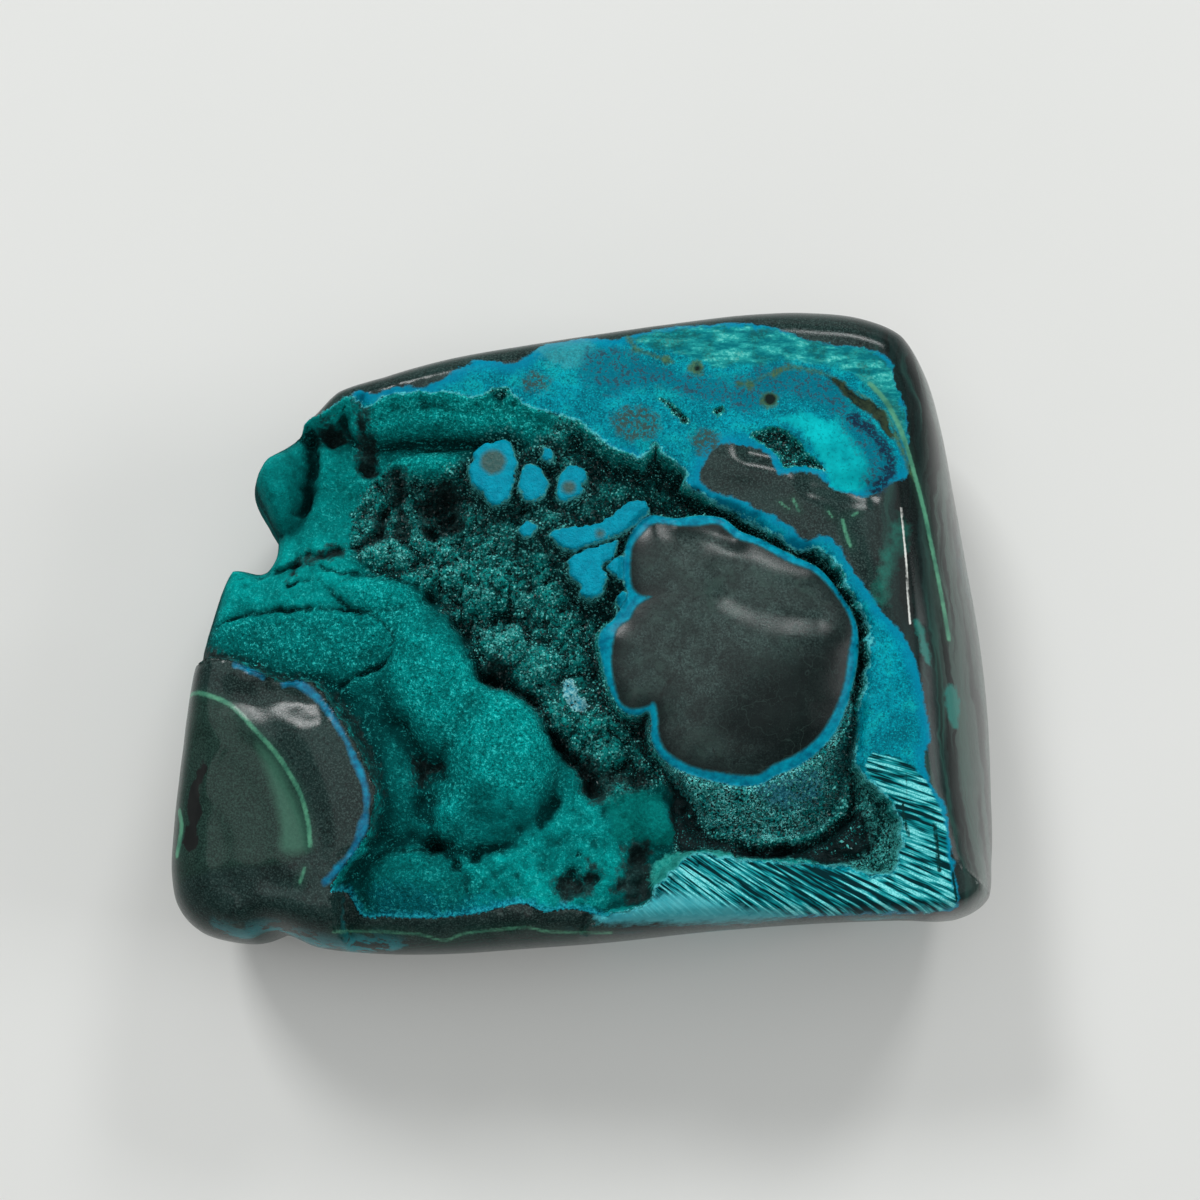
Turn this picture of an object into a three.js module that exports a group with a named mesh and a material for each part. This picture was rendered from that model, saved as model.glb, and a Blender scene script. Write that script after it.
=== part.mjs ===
// Chrysocolla specimen: one stone of chrysocolla and malachite, sawn flat below, polished round its sides and
// over parts of its top, with the rest of the top left as the lumpy, cracked crust that it grew with.
// Millimetres, +Z up, +X along the length. The origin is the middle of the footprint, on the surface below.
import * as THREE from 'three';

// ---- Driving dimensions ----
const TOP_HEIGHT = 42;            // highest point of the polished top above the base
const GIRTH_HEIGHT = 17;          // height at which the sides stand out furthest
const TOP_FALL_X = 1 / 900;       // how fast the polished top falls away towards the ends
const TOP_FALL_Y = 1 / 700;       // the same towards the front and the back
const FOOTPRINT_MIDDLE = [0.35, 0.75];  // middle of the girth, in the outlines' own coordinates
const BASE_SCALE = 0.86;          // the flat base's outline against the girth's
const BASE_ROUNDNESS = 2.1;       // exponent of the curve from the girth down to the base
const BASE_SMOOTHING = 14;        // the base's outline evens out the girth's over this many degrees each way
const RIM_FRACTION = 0.3;         // part of the round-over left outside the top's grid
const NODULE_RISE = 0.3;          // the dark nodule stands this far above the polished top
const WALL_WIDTH = 2.2;           // width of the steep walls round the rough hollow
const SKIRT_TOP_DEPTH = 1.2;      // depth at which the skirt leaves the nodule
const SKIRT_SLOPE = 0.75;
const SKIRT_LOW_DEPTH = 8;

// ---- Mesh density ----
const COLUMNS = 54;
const ROWS = 42;
const RIM_RINGS = 4;
const SIDE_RINGS = 5;
const RIM_RING_CROWDING = 1.6;    // exponents that crowd the rings towards the girth and towards the base
const SIDE_RING_CROWDING = 0.8;
const BASE_MIDDLE = 0.5;          // size of the ring half way across the base
const OUTLINE_STEPS = 8;          // straight pieces between two points of an outline
const RELAX_PASSES = 240;
const SNAP_REACH = 0.8;           // vertices this close to a wall's edge are moved onto it
const SLOPE_STEP = 0.01;

// ---- Outlines, anticlockwise seen from above unless stated ----
// Girth: x, y, width of the round-over at the top edge, roundness exponent there.
const FRONT_LEFT = [
  [-60.4, -30, 9, 2.2], [-60.5, -36, 9, 2.2], [-59.6, -41, 9, 2], [-56.5, -44.4, 9, 2],
];
const FRONT = [
  [-52, -45.9, 8, 2], [-47.8, -46.1, 7, 2], [-44, -44.9, 6, 2], [-39, -46.7, 7, 2], [-30, -47.6, 7, 2.2],
  [-20, -47.6, 6.5, 2.2], [-8, -46.8, 6, 2.2], [4, -45.9, 5, 2.2], [18, -44.4, 4, 2.2], [34, -43.2, 3, 2.2],
  [47, -42.7, 3, 2.2],
];
const FRONT_RIGHT = [[55, -42.6, 4, 2], [59.2, -40, 6, 2], [60.7, -34, 10, 1.7]];
const RIGHT = [
  [61.2, -24, 13, 1.6], [61.1, -11, 14, 1.6], [60.2, 0, 14, 1.6], [58.6, 11, 13, 1.6], [57, 22, 12, 1.6],
  [55.4, 31, 10, 1.7],
];
const BACK_RIGHT = [[53, 39.5, 9, 1.8], [49, 45.5, 8, 2], [42.8, 48.4, 8, 2]];
const BACK = [
  [34, 49.2, 8, 2.1], [24, 48.3, 7, 2.2], [10, 45.9, 6, 2.3], [-6, 43.3, 6, 2.3], [-20, 40.8, 6, 2.3],
  [-30, 38.1, 6, 2.2],
];
const KNOB_SIDE = [
  [-37, 35.4, 5, 2.2], [-41, 31.4, 5, 2.2], [-44.6, 28.6, 4, 2], [-48.4, 26.3, 4, 2], [-50.4, 20.7, 4, 2],
  [-48, 15.8, 4, 2],
];
const LEFT_GAP = [[-46.4, 12.6, 3, 2], [-47.6, 8.9, 3, 2], [-52.2, 9.1, 3, 2]];
const LEFT = [[-54.3, 6.2, 4, 2], [-56.6, -1, 5, 2], [-58.3, -9, 6, 2], [-59.5, -19, 8, 2.1]];
const GIRTH_POINTS = [
  FRONT_LEFT, FRONT, FRONT_RIGHT, RIGHT, BACK_RIGHT, BACK, KNOB_SIDE, LEFT_GAP, LEFT,
].flat();
// Points of the girth at which the four edges of the top's grid meet, in order from the front left.
const CORNER_POINTS = [FRONT_LEFT[2], FRONT_RIGHT[1], BACK_RIGHT[1], KNOB_SIDE[1]];
const CORNERS = CORNER_POINTS.map((point) => GIRTH_POINTS.indexOf(point));

// The rough hollow, clockwise: past the left side, along the polished blue field, down the long crack, round
// the dark basin, past the front edge, and back up beside the banded nodule.
const HOLLOW = [
  [-60, 33], [-50, 33], [-38.3, 29.8], [-29.3, 31.6], [-16.3, 32.9], [-9, 31], [-3.3, 28.5], [1.3, 26.1],
  [6.5, 22.7], [11.5, 22.3], [14.6, 20.5], [15.6, 17.8], [22.1, 14.2], [26.5, 11.6], [31, 9.3], [34, 8.6],
  [37.2, 4.4], [40.3, -2], [40, -8.4], [37.6, -17.2], [38, -21.4], [44, -28], [44, -34], [39.8, -36.1],
  [32, -34.8], [22, -34.3], [15, -35.4], [8.6, -39.9], [2, -43], [-4, -52], [-30, -56], [-34, -46],
  [-34.5, -37.5], [-30.1, -31.4], [-28.8, -26.2], [-30.4, -21], [-33.7, -15.1], [-37.9, -10.2], [-44, -9.2],
  [-49.3, -6.8], [-53.8, -6.3], [-66, -6],
];
// The big dark nodule, polished flat on top.
const NODULE = [
  [10.2, 14.3], [15.5, 13.9], [20.5, 13.2], [29.3, 8.8], [35.6, 4.7], [38.8, -1.6], [38.2, -8], [36.2, -14.3],
  [30.2, -21], [25.7, -23.4], [21.1, -23.9], [14, -22], [9.8, -18.9], [8.6, -15], [4.6, -12.6], [2.8, -7],
  [4.4, -1.6], [5.3, 2.5], [5.4, 9],
];
// The granular skirt below the nodule's front.
const SKIRT = [
  [9, -15], [11.5, -21.5], [15.5, -27.7], [20, -30.9], [29, -31.2], [34.6, -29.6], [37.4, -25], [38, -12],
];
// Small polished islets in the hollow: centre, half widths.
const ISLETS = [
  [-12.7, 19.8, 3.2, 4.2], [-7.1, 18.4, 2, 2.8], [-1.6, 18.1, 2.3, 2.9], [1, 4.4, 2.3, 2.6],
  [1.2, 9.8, 5, 2.8],
];
const ISLET_DEPTH = 0.6;

// ---- Depths below the polished top: x, y, depth ----
const FLOOR_DEPTHS = [
  [-50, 4, 6.5], [-40, 5.5, 5.6], [-28, 3, 5.4], [-50, -3, 5.6], [-38, -4, 5], [-30, -2, 5.2], [-34, -9, 6.5],
  [-31, -14, 7.5], [-28, -29, 8.5], [-30, -35, 6], [-44, 9.5, 8], [-38, 16, 8.5], [-40, 25, 7], [-33, 27, 7],
  [-26, 24, 6.5], [-17, 24, 6.2], [-21, 18, 11], [-26, 16, 9.5], [-27, 10, 8.5], [-18, 8, 8], [-13, 12, 5],
  [-8, 14, 3], [-3, 21, 3], [-4, 25, 5], [3, 21, 7.5], [10, 19, 8.5], [-4, 6, 4.5], [-3, 0, 6.5], [-9, -1, 8],
  [-14, 0, 8.5], [-3, -9, 8], [2, -14, 8.5], [6, -19, 8.5], [1, -25, 7], [-2, -33, 6], [8, -31, 6.5],
  [14, -27, 7.5], [-12, -37, 5], [4, -38, 4.5], [-20, -41, 3.8], [-8, -41, 3.4], [18, -33, 5.5],
  [30, -33, 5.5], [40, -30, 5], [41, -35, 4.5],
];
const FLOOR_REACH = 5;            // how far each of those depths spreads

// Rounded lumps: centre, half widths, turn in degrees, depth of the crown, depth of the foot.
const LUMPS = [
  { at: [-12, -20.3], half: [8.4, 11.6], turn: 10, crown: 2, foot: 9.5 },
  { at: [-21.5, -8.5], half: [8, 12.5], turn: 18, crown: 2.8, foot: 9.5 },
  { at: [-27, -24.5], half: [4.6, 8.5], turn: 0, crown: 5, foot: 9.5 },
  { at: [-18.5, -27.5], half: [7, 5.4], turn: 15, crown: 4, foot: 9.5 },
  { at: [-23.9, -37.6], half: [7.6, 5.6], turn: 0, crown: 3, foot: 7.5 },
  { at: [-45, 20.8], half: [4.8, 7], turn: 8, crown: 3.4, foot: 13 },
  { at: [-11.5, -3.5], half: [3.6, 3.2], turn: 0, crown: 4.8, foot: 9 },
  { at: [-5.5, -6.5], half: [3.4, 3], turn: 0, crown: 5.2, foot: 9 },
  { at: [-13.5, 4], half: [4.2, 3.4], turn: 20, crown: 5, foot: 8.5 },
  { at: [-28, 12], half: [5, 3.2], turn: 0, crown: 6, foot: 9.5 },
  { at: [10.2, -28.5], half: [3, 3.6], turn: 0, crown: 4.2, foot: 7.5 },
];
// Long ridges: centre line, half width, depth of the crown, depth of the foot.
const RIDGES = [
  { line: [[-31, 29.6], [-22, 30.4], [-13, 29.4], [-5, 26.4]], half: 3.8, crown: 1.6, foot: 6.5 },
];
// Cracks: centre line, half width, extra depth.
const CRACKS = [
  { line: [[-23.8, 4.4], [-16.9, -2.7], [-14.5, -8], [-9.6, -10], [-5, -15], [-0.5, -20.8], [1.3, -24.4]],
    half: 1.5, depth: 4 },
  { line: [[15.3, 17.2], [22.2, 14.4], [28.6, 10.6], [33.9, 8.6], [38.9, 1.4], [40.3, -4], [38.9, -12],
    [37, -20]], half: 1.6, depth: 8 },
  { line: [[13, -26], [17, -31.2], [24, -33], [33, -32], [38.6, -27]], half: 1.3, depth: 4 },
  { line: [[-33.5, 14.5], [-28, 15.4], [-26, 20]], half: 1.6, depth: 3 },
  { line: [[-42, 28], [-40.8, 23.5], [-42, 17.5], [-45, 13.6]], half: 1.3, depth: 4 },
];
// Broad swells and dips of the polished top: centre, half widths, turn in degrees, height.
const SWELLS = [
  { at: [-45, -24], half: [9, 5], turn: -50, height: -0.9 },
  { at: [-36, -22], half: [4, 9], turn: 10, height: 0.7 },
  { at: [-57, -27], half: [3, 10], turn: 0, height: 0.6 },
  { at: [-48, -39], half: [10, 2.5], turn: 8, height: -0.8 },
  { at: [22, 21.5], half: [5, 3], turn: 10, height: 0.6 },
  { at: [31, 18], half: [4.5, 3], turn: -20, height: 0.7 },
  { at: [42, 6], half: [3, 14], turn: 18, height: -0.7 },
];

const STONE_COLOUR = 0x0b5f5c;
const STONE_ROUGHNESS = 0.5;

const clamp = (value, low, high) => Math.min(high, Math.max(low, value));
const mix = (a, b, t) => a + (b - a) * t;

function smoothStep(low, high, value) {
  const t = clamp((value - low) / (high - low), 0, 1);
  return t * t * (3 - 2 * t);
}

// A smooth closed curve through the points, as a list of corners; extra numbers in a point are carried along.
function closedCurve(points, steps = OUTLINE_STEPS) {
  const through = points.map(([x, y]) => new THREE.Vector3(x, y, 0));
  const curve = new THREE.CatmullRomCurve3(through, true, 'centripetal');
  const corners = [];
  for (let i = 0; i < points.length * steps; i += 1) {
    const spot = curve.getPoint(i / (points.length * steps));
    const from = points[Math.floor(i / steps)];
    const to = points[(Math.floor(i / steps) + 1) % points.length];
    const extra = from.slice(2).map((value, k) => mix(value, to[k + 2], (i % steps) / steps));
    corners.push([spot.x, spot.y, ...extra]);
  }
  return corners;
}

// Distance from (x, y) to the piece from a to b, and how far along it the nearest spot lies.
function toSegment(x, y, a, b) {
  const dx = b[0] - a[0];
  const dy = b[1] - a[1];
  const along = clamp(((x - a[0]) * dx + (y - a[1]) * dy) / (dx * dx + dy * dy), 0, 1);
  return { distance: Math.hypot(x - a[0] - dx * along, y - a[1] - dy * along), along };
}

// Distance to a closed outline, positive inside.
function depthInside(x, y, corners) {
  let nearest = Infinity;
  let inside = false;
  corners.forEach((a, i) => {
    const b = corners[(i + 1) % corners.length];
    nearest = Math.min(nearest, toSegment(x, y, a, b).distance);
    const crosses = (a[1] > y) !== (b[1] > y) && x < a[0] + ((b[0] - a[0]) * (y - a[1])) / (b[1] - a[1]);
    if (crosses) inside = !inside;
  });
  return inside ? nearest : -nearest;
}

function distanceToLine(x, y, line) {
  return Math.min(...line.slice(1).map((b, i) => toSegment(x, y, line[i], b).distance));
}

// ---- The stone's outline and its top ----
const girth = closedCurve(GIRTH_POINTS);
const hollow = closedCurve(HOLLOW);
const nodule = closedCurve(NODULE);
const skirt = closedCurve(SKIRT);

function girthNormal(i) {
  const before = girth[(i - 1 + girth.length) % girth.length];
  const after = girth[(i + 1) % girth.length];
  return new THREE.Vector2(after[1] - before[1], before[0] - after[0]).normalize();
}

// Nearest spot of the girth: its distance, and the round-over there.
function nearestEdge(x, y) {
  let best = { distance: Infinity };
  girth.forEach((a, i) => {
    const b = girth[(i + 1) % girth.length];
    const { distance, along } = toSegment(x, y, a, b);
    if (distance < best.distance) {
      best = { distance, width: mix(a[2], b[2], along), power: mix(a[3], b[3], along) };
    }
  });
  return best;
}

// Height of the round-over, from 0 at the girth to 1 where the top is reached.
function roundOver(inset, width, power) {
  const outward = clamp(1 - inset / width, 0, 1);
  return (1 - outward ** power) ** (1 / power);
}

function floorDepth(x, y) {
  let sum = 0;
  let weights = 0;
  FLOOR_DEPTHS.forEach(([px, py, depth]) => {
    const weight = 1 / (1 + ((x - px) ** 2 + (y - py) ** 2) / FLOOR_REACH ** 2) ** 3;
    sum += depth * weight;
    weights += weight;
  });
  return sum / weights;
}

// Square of the distance from an oval's centre, 1 on its edge.
function ovalReach(x, y, { at, half, turn }) {
  const angle = THREE.MathUtils.degToRad(turn);
  const dx = x - at[0];
  const dy = y - at[1];
  const across = (dx * Math.cos(angle) + dy * Math.sin(angle)) / half[0];
  const along = (dy * Math.cos(angle) - dx * Math.sin(angle)) / half[1];
  return across ** 2 + along ** 2;
}

function lumpDepth(x, y, lump) {
  const reach = ovalReach(x, y, lump);
  return reach < 1 ? mix(lump.foot, lump.crown, Math.sqrt(1 - reach)) : Infinity;
}

function ridgeDepth(x, y, { line, half, crown, foot }) {
  const reach = distanceToLine(x, y, line) / half;
  return reach < 1 ? mix(foot, crown, Math.sqrt(1 - reach ** 2)) : Infinity;
}

// Depth of the rough hollow at (x, y), before its walls.
function roughDepth(x, y) {
  let depth = floorDepth(x, y);
  LUMPS.forEach((lump) => { depth = Math.min(depth, lumpDepth(x, y, lump)); });
  RIDGES.forEach((ridge) => { depth = Math.min(depth, ridgeDepth(x, y, ridge)); });
  ISLETS.forEach(([cx, cy, halfX, halfY]) => {
    const reach = Math.hypot((x - cx) / halfX, (y - cy) / halfY);
    depth = mix(ISLET_DEPTH, depth, smoothStep(0.8, 1.3, reach));
  });
  return depth;
}

function swellHeight(x, y) {
  return SWELLS.reduce((sum, swell) => sum + swell.height * Math.exp(-ovalReach(x, y, swell)), 0);
}

// Depth of the top's surface below the polished cap.
function reliefDepth(x, y) {
  const inNodule = depthInside(x, y, nodule);
  let depth = roughDepth(x, y) * smoothStep(0, WALL_WIDTH, depthInside(x, y, hollow));
  const onSkirt = smoothStep(0, WALL_WIDTH, depthInside(x, y, skirt));
  depth = mix(depth, clamp(SKIRT_TOP_DEPTH - SKIRT_SLOPE * inNodule, 0, SKIRT_LOW_DEPTH), onSkirt);
  CRACKS.forEach(({ line, half, depth: extra }) => {
    depth += extra * Math.exp(-((distanceToLine(x, y, line) / half) ** 2));
  });
  return mix(depth, -NODULE_RISE, smoothStep(-WALL_WIDTH, 0, inNodule)) - swellHeight(x, y);
}

function topHeight(x, y) {
  const { distance, width, power } = nearestEdge(x, y);
  const cap = TOP_HEIGHT - TOP_FALL_X * x * x - TOP_FALL_Y * y * y;
  return GIRTH_HEIGHT + (cap - reliefDepth(x, y) - GIRTH_HEIGHT) * roundOver(distance, width, power);
}

// ---- Mesh: a four-sided grid over the top, rings down the sides, and a flat base ----
// Places along the girth, evenly spaced on each of the grid's four edges.
function perimeterPlaces() {
  const places = [];
  const counts = [COLUMNS, ROWS, COLUMNS, ROWS];
  CORNERS.forEach((corner, edge) => {
    const start = corner * OUTLINE_STEPS;
    const end = CORNERS[(edge + 1) % 4] * OUTLINE_STEPS + (edge === 3 ? girth.length : 0);
    const lengths = [0];
    for (let i = start; i < end; i += 1) {
      const a = girth[i % girth.length];
      const b = girth[(i + 1) % girth.length];
      lengths.push(lengths[lengths.length - 1] + Math.hypot(b[0] - a[0], b[1] - a[1]));
    }
    for (let k = 0; k < counts[edge]; k += 1) {
      const wanted = (lengths[lengths.length - 1] * k) / counts[edge];
      const after = Math.max(1, lengths.findIndex((length) => length > wanted));
      const share = (wanted - lengths[after - 1]) / (lengths[after] - lengths[after - 1]);
      places.push(start + after - 1 + share);
    }
  });
  return places;
}

// The girth at a fractional place: position, outward direction and round-over.
function girthAt(place) {
  const i = Math.floor(place) % girth.length;
  const j = (i + 1) % girth.length;
  const share = place - Math.floor(place);
  const [x, y, width, power] = girth[i].map((value, k) => mix(value, girth[j][k], share));
  const normal = girthNormal(i).lerp(girthNormal(j), share).normalize();
  return { x, y, width, power, normal };
}

const rim = perimeterPlaces().map(girthAt);

// How far out the base reaches behind a place on the rim, as a share of the way to it from the origin.
function baseReach({ x, y }) {
  const angle = Math.atan2(y, x);
  const edgeOfWindow = Math.cos(THREE.MathUtils.degToRad(BASE_SMOOTHING));
  let sum = 0;
  let weights = 0;
  girth.forEach(([cornerX, cornerY], i) => {
    const after = girth[(i + 1) % girth.length];
    const turn = Math.atan2(cornerY, cornerX) - angle;
    const step = Math.hypot(after[0] - cornerX, after[1] - cornerY);
    const weight = step * Math.max(0, Math.cos(turn) - edgeOfWindow);
    sum += weight * Math.hypot(cornerX, cornerY);
    weights += weight;
  });
  return (BASE_SCALE * sum) / (weights * Math.hypot(x, y));
}

function rimPoint({ x, y, width, normal }, fraction) {
  return new THREE.Vector2(x - normal.x * width * fraction, y - normal.y * width * fraction);
}

// Number of the perimeter place beside each border vertex of the grid, or -1 inside it.
function borderPlace(column, row) {
  if (row === 0) return column;
  if (column === COLUMNS) return COLUMNS + row;
  if (row === ROWS) return COLUMNS + ROWS + (COLUMNS - column);
  if (column === 0) return 2 * COLUMNS + ROWS + (ROWS - row);
  return -1;
}

function gridPlan() {
  const plan = [];
  const border = (column, row) => rimPoint(rim[borderPlace(column, row) % rim.length], RIM_FRACTION);
  for (let row = 0; row <= ROWS; row += 1) {
    for (let column = 0; column <= COLUMNS; column += 1) {
      const u = column / COLUMNS;
      const v = row / ROWS;
      const acrossRow = border(0, row).lerp(border(COLUMNS, row), u);
      const upColumn = border(column, 0).lerp(border(column, ROWS), v);
      const low = border(0, 0).lerp(border(COLUMNS, 0), u);
      const high = border(0, ROWS).lerp(border(COLUMNS, ROWS), u);
      plan.push(acrossRow.add(upColumn).sub(low.lerp(high, v)));
    }
  }
  return plan;
}

// Each inner vertex is moved to the middle of its four neighbours, until the grid lies evenly.
function relax(plan) {
  const wide = COLUMNS + 1;
  for (let pass = 0; pass < RELAX_PASSES; pass += 1) {
    for (let row = 1; row < ROWS; row += 1) {
      for (let column = 1; column < COLUMNS; column += 1) {
        const i = row * wide + column;
        plan[i].copy(plan[i - 1]).add(plan[i + 1]).add(plan[i - wide]).add(plan[i + wide]);
        plan[i].multiplyScalar(0.25);
      }
    }
  }
  return plan;
}

// Inner vertices close to the top or the foot of a wall are moved onto it, so that the wall runs true.
function snapToWalls(plan) {
  const isInner = (i) => borderPlace(i % (COLUMNS + 1), Math.floor(i / (COLUMNS + 1))) < 0;
  const edges = [[hollow, 0], [hollow, WALL_WIDTH], [nodule, 0], [nodule, -WALL_WIDTH]];
  edges.forEach(([corners, level]) => {
    plan.forEach((spot, i) => {
      const here = depthInside(spot.x, spot.y, corners);
      if (Math.abs(here - level) > SNAP_REACH || !isInner(i)) return;
      const slope = new THREE.Vector2(
        depthInside(spot.x + SLOPE_STEP, spot.y, corners) - here,
        depthInside(spot.x, spot.y + SLOPE_STEP, corners) - here,
      );
      spot.addScaledVector(slope.normalize(), level - here);
    });
  });
  return plan;
}

function stoneGeometry() {
  const wide = COLUMNS + 1;
  const vertices = snapToWalls(relax(gridPlan())).map(({ x, y }) => [x, y, topHeight(x, y)]);
  const triangles = [];
  const quad = (a, b, c, d) => triangles.push([a, b, c], [a, c, d]);
  for (let row = 0; row < ROWS; row += 1) {
    for (let column = 0; column < COLUMNS; column += 1) {
      const i = row * wide + column;
      quad(i, i + 1, i + wide + 1, i + wide);
    }
  }
  let ring = new Array(rim.length);
  for (let row = 0; row <= ROWS; row += 1) {
    for (let column = 0; column <= COLUMNS; column += 1) {
      const place = borderPlace(column, row);
      if (place >= 0) ring[place % rim.length] = row * wide + column;
    }
  }
  const rimHeights = ring.map((i) => vertices[i][2]);

  const addRing = (spotAt) => {
    const first = vertices.length;
    rim.forEach((place, i) => vertices.push(spotAt(place, i)));
    const next = rim.map((_, i) => first + i);
    ring.forEach((_, i) => {
      const j = (i + 1) % ring.length;
      quad(ring[i], next[i], next[j], ring[j]);
    });
    ring = next;
  };
  for (let k = 1; k <= RIM_RINGS; k += 1) {
    const fraction = RIM_FRACTION * (1 - k / RIM_RINGS) ** RIM_RING_CROWDING;
    addRing((place, i) => {
      const spot = rimPoint(place, fraction);
      const share = roundOver(fraction, 1, place.power) / roundOver(RIM_FRACTION, 1, place.power);
      return [spot.x, spot.y, GIRTH_HEIGHT + (rimHeights[i] - GIRTH_HEIGHT) * share];
    });
  }
  const baseReaches = rim.map(baseReach);
  for (let k = 1; k <= SIDE_RINGS; k += 1) {
    const down = (k / SIDE_RINGS) ** SIDE_RING_CROWDING;
    const inward = 1 - (1 - down ** BASE_ROUNDNESS) ** (1 / BASE_ROUNDNESS);
    addRing(({ x, y }, i) => {
      const scale = mix(1, baseReaches[i], inward);
      return [x * scale, y * scale, GIRTH_HEIGHT * (1 - down)];
    });
  }
  addRing(({ x, y }, i) => [x * baseReaches[i] * BASE_MIDDLE, y * baseReaches[i] * BASE_MIDDLE, 0]);
  const middle = vertices.push([0, 0, 0]) - 1;
  ring.forEach((_, i) => triangles.push([ring[i], middle, ring[(i + 1) % ring.length]]));

  const geometry = new THREE.BufferGeometry();
  geometry.setAttribute('position', new THREE.Float32BufferAttribute(vertices.flat(), 3));
  geometry.setIndex(triangles.flat());
  geometry.translate(-FOOTPRINT_MIDDLE[0], -FOOTPRINT_MIDDLE[1], 0);
  geometry.computeVertexNormals();
  return geometry;
}

const material = new THREE.MeshStandardMaterial({
  color: STONE_COLOUR,
  roughness: STONE_ROUGHNESS,
  metalness: 0,
});
const specimen = new THREE.Mesh(stoneGeometry(), material);
specimen.name = 'specimen';

const part = new THREE.Group();
part.add(specimen);
export default part;
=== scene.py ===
"""Looks of a chrysocolla specimen: a block of chrysocolla and malachite, polished round its sides and over
parts of its top. The rest of the top is left as the velvety lumps, sparkling druse and cracks it grew with.

The stone is one dense mesh that stands for the CAD node. Its outline, hollow and lumps repeat the CAD's,
and finer relief is added to them. Each marking is a named outline in millimetres. Every vertex stores its
distance to each outline, and the materials turn those distances into ragged, grained boundaries. Small
crystals are strewn over the druse, the skirt and the pockets as a second mesh. Lengths are in millimetres
until the vertices are written, which are in metres, in the CAD's frame.
"""
import math

import bpy
import numpy as np
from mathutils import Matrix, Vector


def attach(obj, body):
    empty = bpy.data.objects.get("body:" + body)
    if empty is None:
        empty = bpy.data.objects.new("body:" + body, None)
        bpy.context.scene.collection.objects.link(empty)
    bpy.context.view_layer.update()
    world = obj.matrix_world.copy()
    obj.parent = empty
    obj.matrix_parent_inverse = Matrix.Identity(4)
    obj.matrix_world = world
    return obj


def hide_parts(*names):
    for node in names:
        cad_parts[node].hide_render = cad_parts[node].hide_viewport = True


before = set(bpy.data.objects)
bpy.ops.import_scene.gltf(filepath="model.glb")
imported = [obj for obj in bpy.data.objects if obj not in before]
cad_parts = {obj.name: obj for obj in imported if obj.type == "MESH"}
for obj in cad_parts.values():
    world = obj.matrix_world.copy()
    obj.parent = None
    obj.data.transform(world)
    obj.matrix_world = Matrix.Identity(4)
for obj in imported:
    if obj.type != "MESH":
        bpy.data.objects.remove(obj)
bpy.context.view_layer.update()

MM = 0.001
SEED = 7

# ---- The stone's main sizes, as the CAD has them ----
FOOTPRINT_MIDDLE = (0.35, 0.75)    # middle of the girth, in the outlines' own coordinates
TOP_HEIGHT = 42         # highest point of the polished top above the base
GIRTH_HEIGHT = 17       # height at which the sides stand out furthest
TOP_FALL_X = 1 / 900    # how fast the polished top falls away towards the ends
TOP_FALL_Y = 1 / 700    # the same towards the front and the back
BASE_SCALE = 0.86       # the flat base's outline against the girth's
BASE_ROUNDNESS = 2.1    # exponent of the curve from the girth down to the base
BASE_SMOOTHING = math.radians(14)
RIM_FRACTION = 0.3      # part of the round-over left outside the top's grid
SKIRT_TOP_DEPTH = 1.2   # depth at which the skirt leaves the nodule
SKIRT_SLOPE = 0.75
SKIRT_LOW_DEPTH = 8
ISLET_DEPTH = 0.6
FLOOR_REACH = 5         # how far each depth of the hollow's floor spreads

# ---- Sizes that are finer than the CAD's, or shape what it leaves out ----
NODULE_RISE = -0.5      # height of the nodule above the polished top, before its swell; the CAD has 0.3
NODULE_SAG = 1.9        # how much lower the nodule's top is at its edge
NODULE_SHOULDER = 3.6   # and how far in from the edge it levels out
WALL_WIDTH = 1.0        # width of the steep walls round the hollow; the CAD has 2.2
BACK_WALL_WIDTH = 2.6   # the wall is gentler along the back of the hollow
EDGE_DROP = 0.65        # the polish rounds over this far at the edge of the hollow
EDGE_ROUNDING = 1.5
LUMP_BLEND = 1.3        # lumps run into each other over about this much height
MOUND_FALL = 30         # fall beyond a lump's foot, for each half width outward
RING_WAVE = 0.10        # height of the waves in the left nodule's polish, which follow its green line
RING_SPACING = 5.6
INSIDE_CAD = 0.9997     # the finer outline is drawn in by this much, so that it stays inside the CAD's box

# ---- Fine relief ----
FRAY = 0.32             # outlines that fray wander by about this much
FRAY_GRAIN = 1.5
KNOB_SIZE = 4.2         # knobs of the druse, and smaller ones over them
SMALL_KNOB_SIZE = 1.5
CREASE_DEPTH = 0.8      # creases between the knobs
CREASE_WIDTH = 0.12     # as a share of the knobs' size
POCKET_DEPTH = 1.6      # druse pockets in the polish
CLOSED_CRACK = 0.3      # cracks close to this share of their depth in places
OPEN_CRACK = 1

# ---- Mesh density ----
COLUMNS = 320
ROWS = 248
RIM_RINGS = 6
SIDE_RINGS = 8
RIM_RING_CROWDING = 1.6    # exponents that crowd the rings towards the girth and towards the base
SIDE_RING_CROWDING = 0.8
BASE_MIDDLE = 0.5       # size of the ring half way across the base
RELAX_PASSES = 3000     # passes that even out the top's grid
OUTLINE_STEPS = 8       # straight pieces between two points of an outline
LINE_STEPS = 6          # and between two points of an open line
SNAP_REACH = 0.2        # grid points this close to a wall's edge are moved onto it
SNAP_PROBE = 0.02       # step over which the slope towards the wall is measured
CHUNK = 3000            # points measured at a time, to save memory

# Passes of a small blur over the heights. A point's height is compared with what the blur leaves there.
CROWN_PASSES = 60
SWELL_PASSES = 700
CREASE_PASSES = 6

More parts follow.
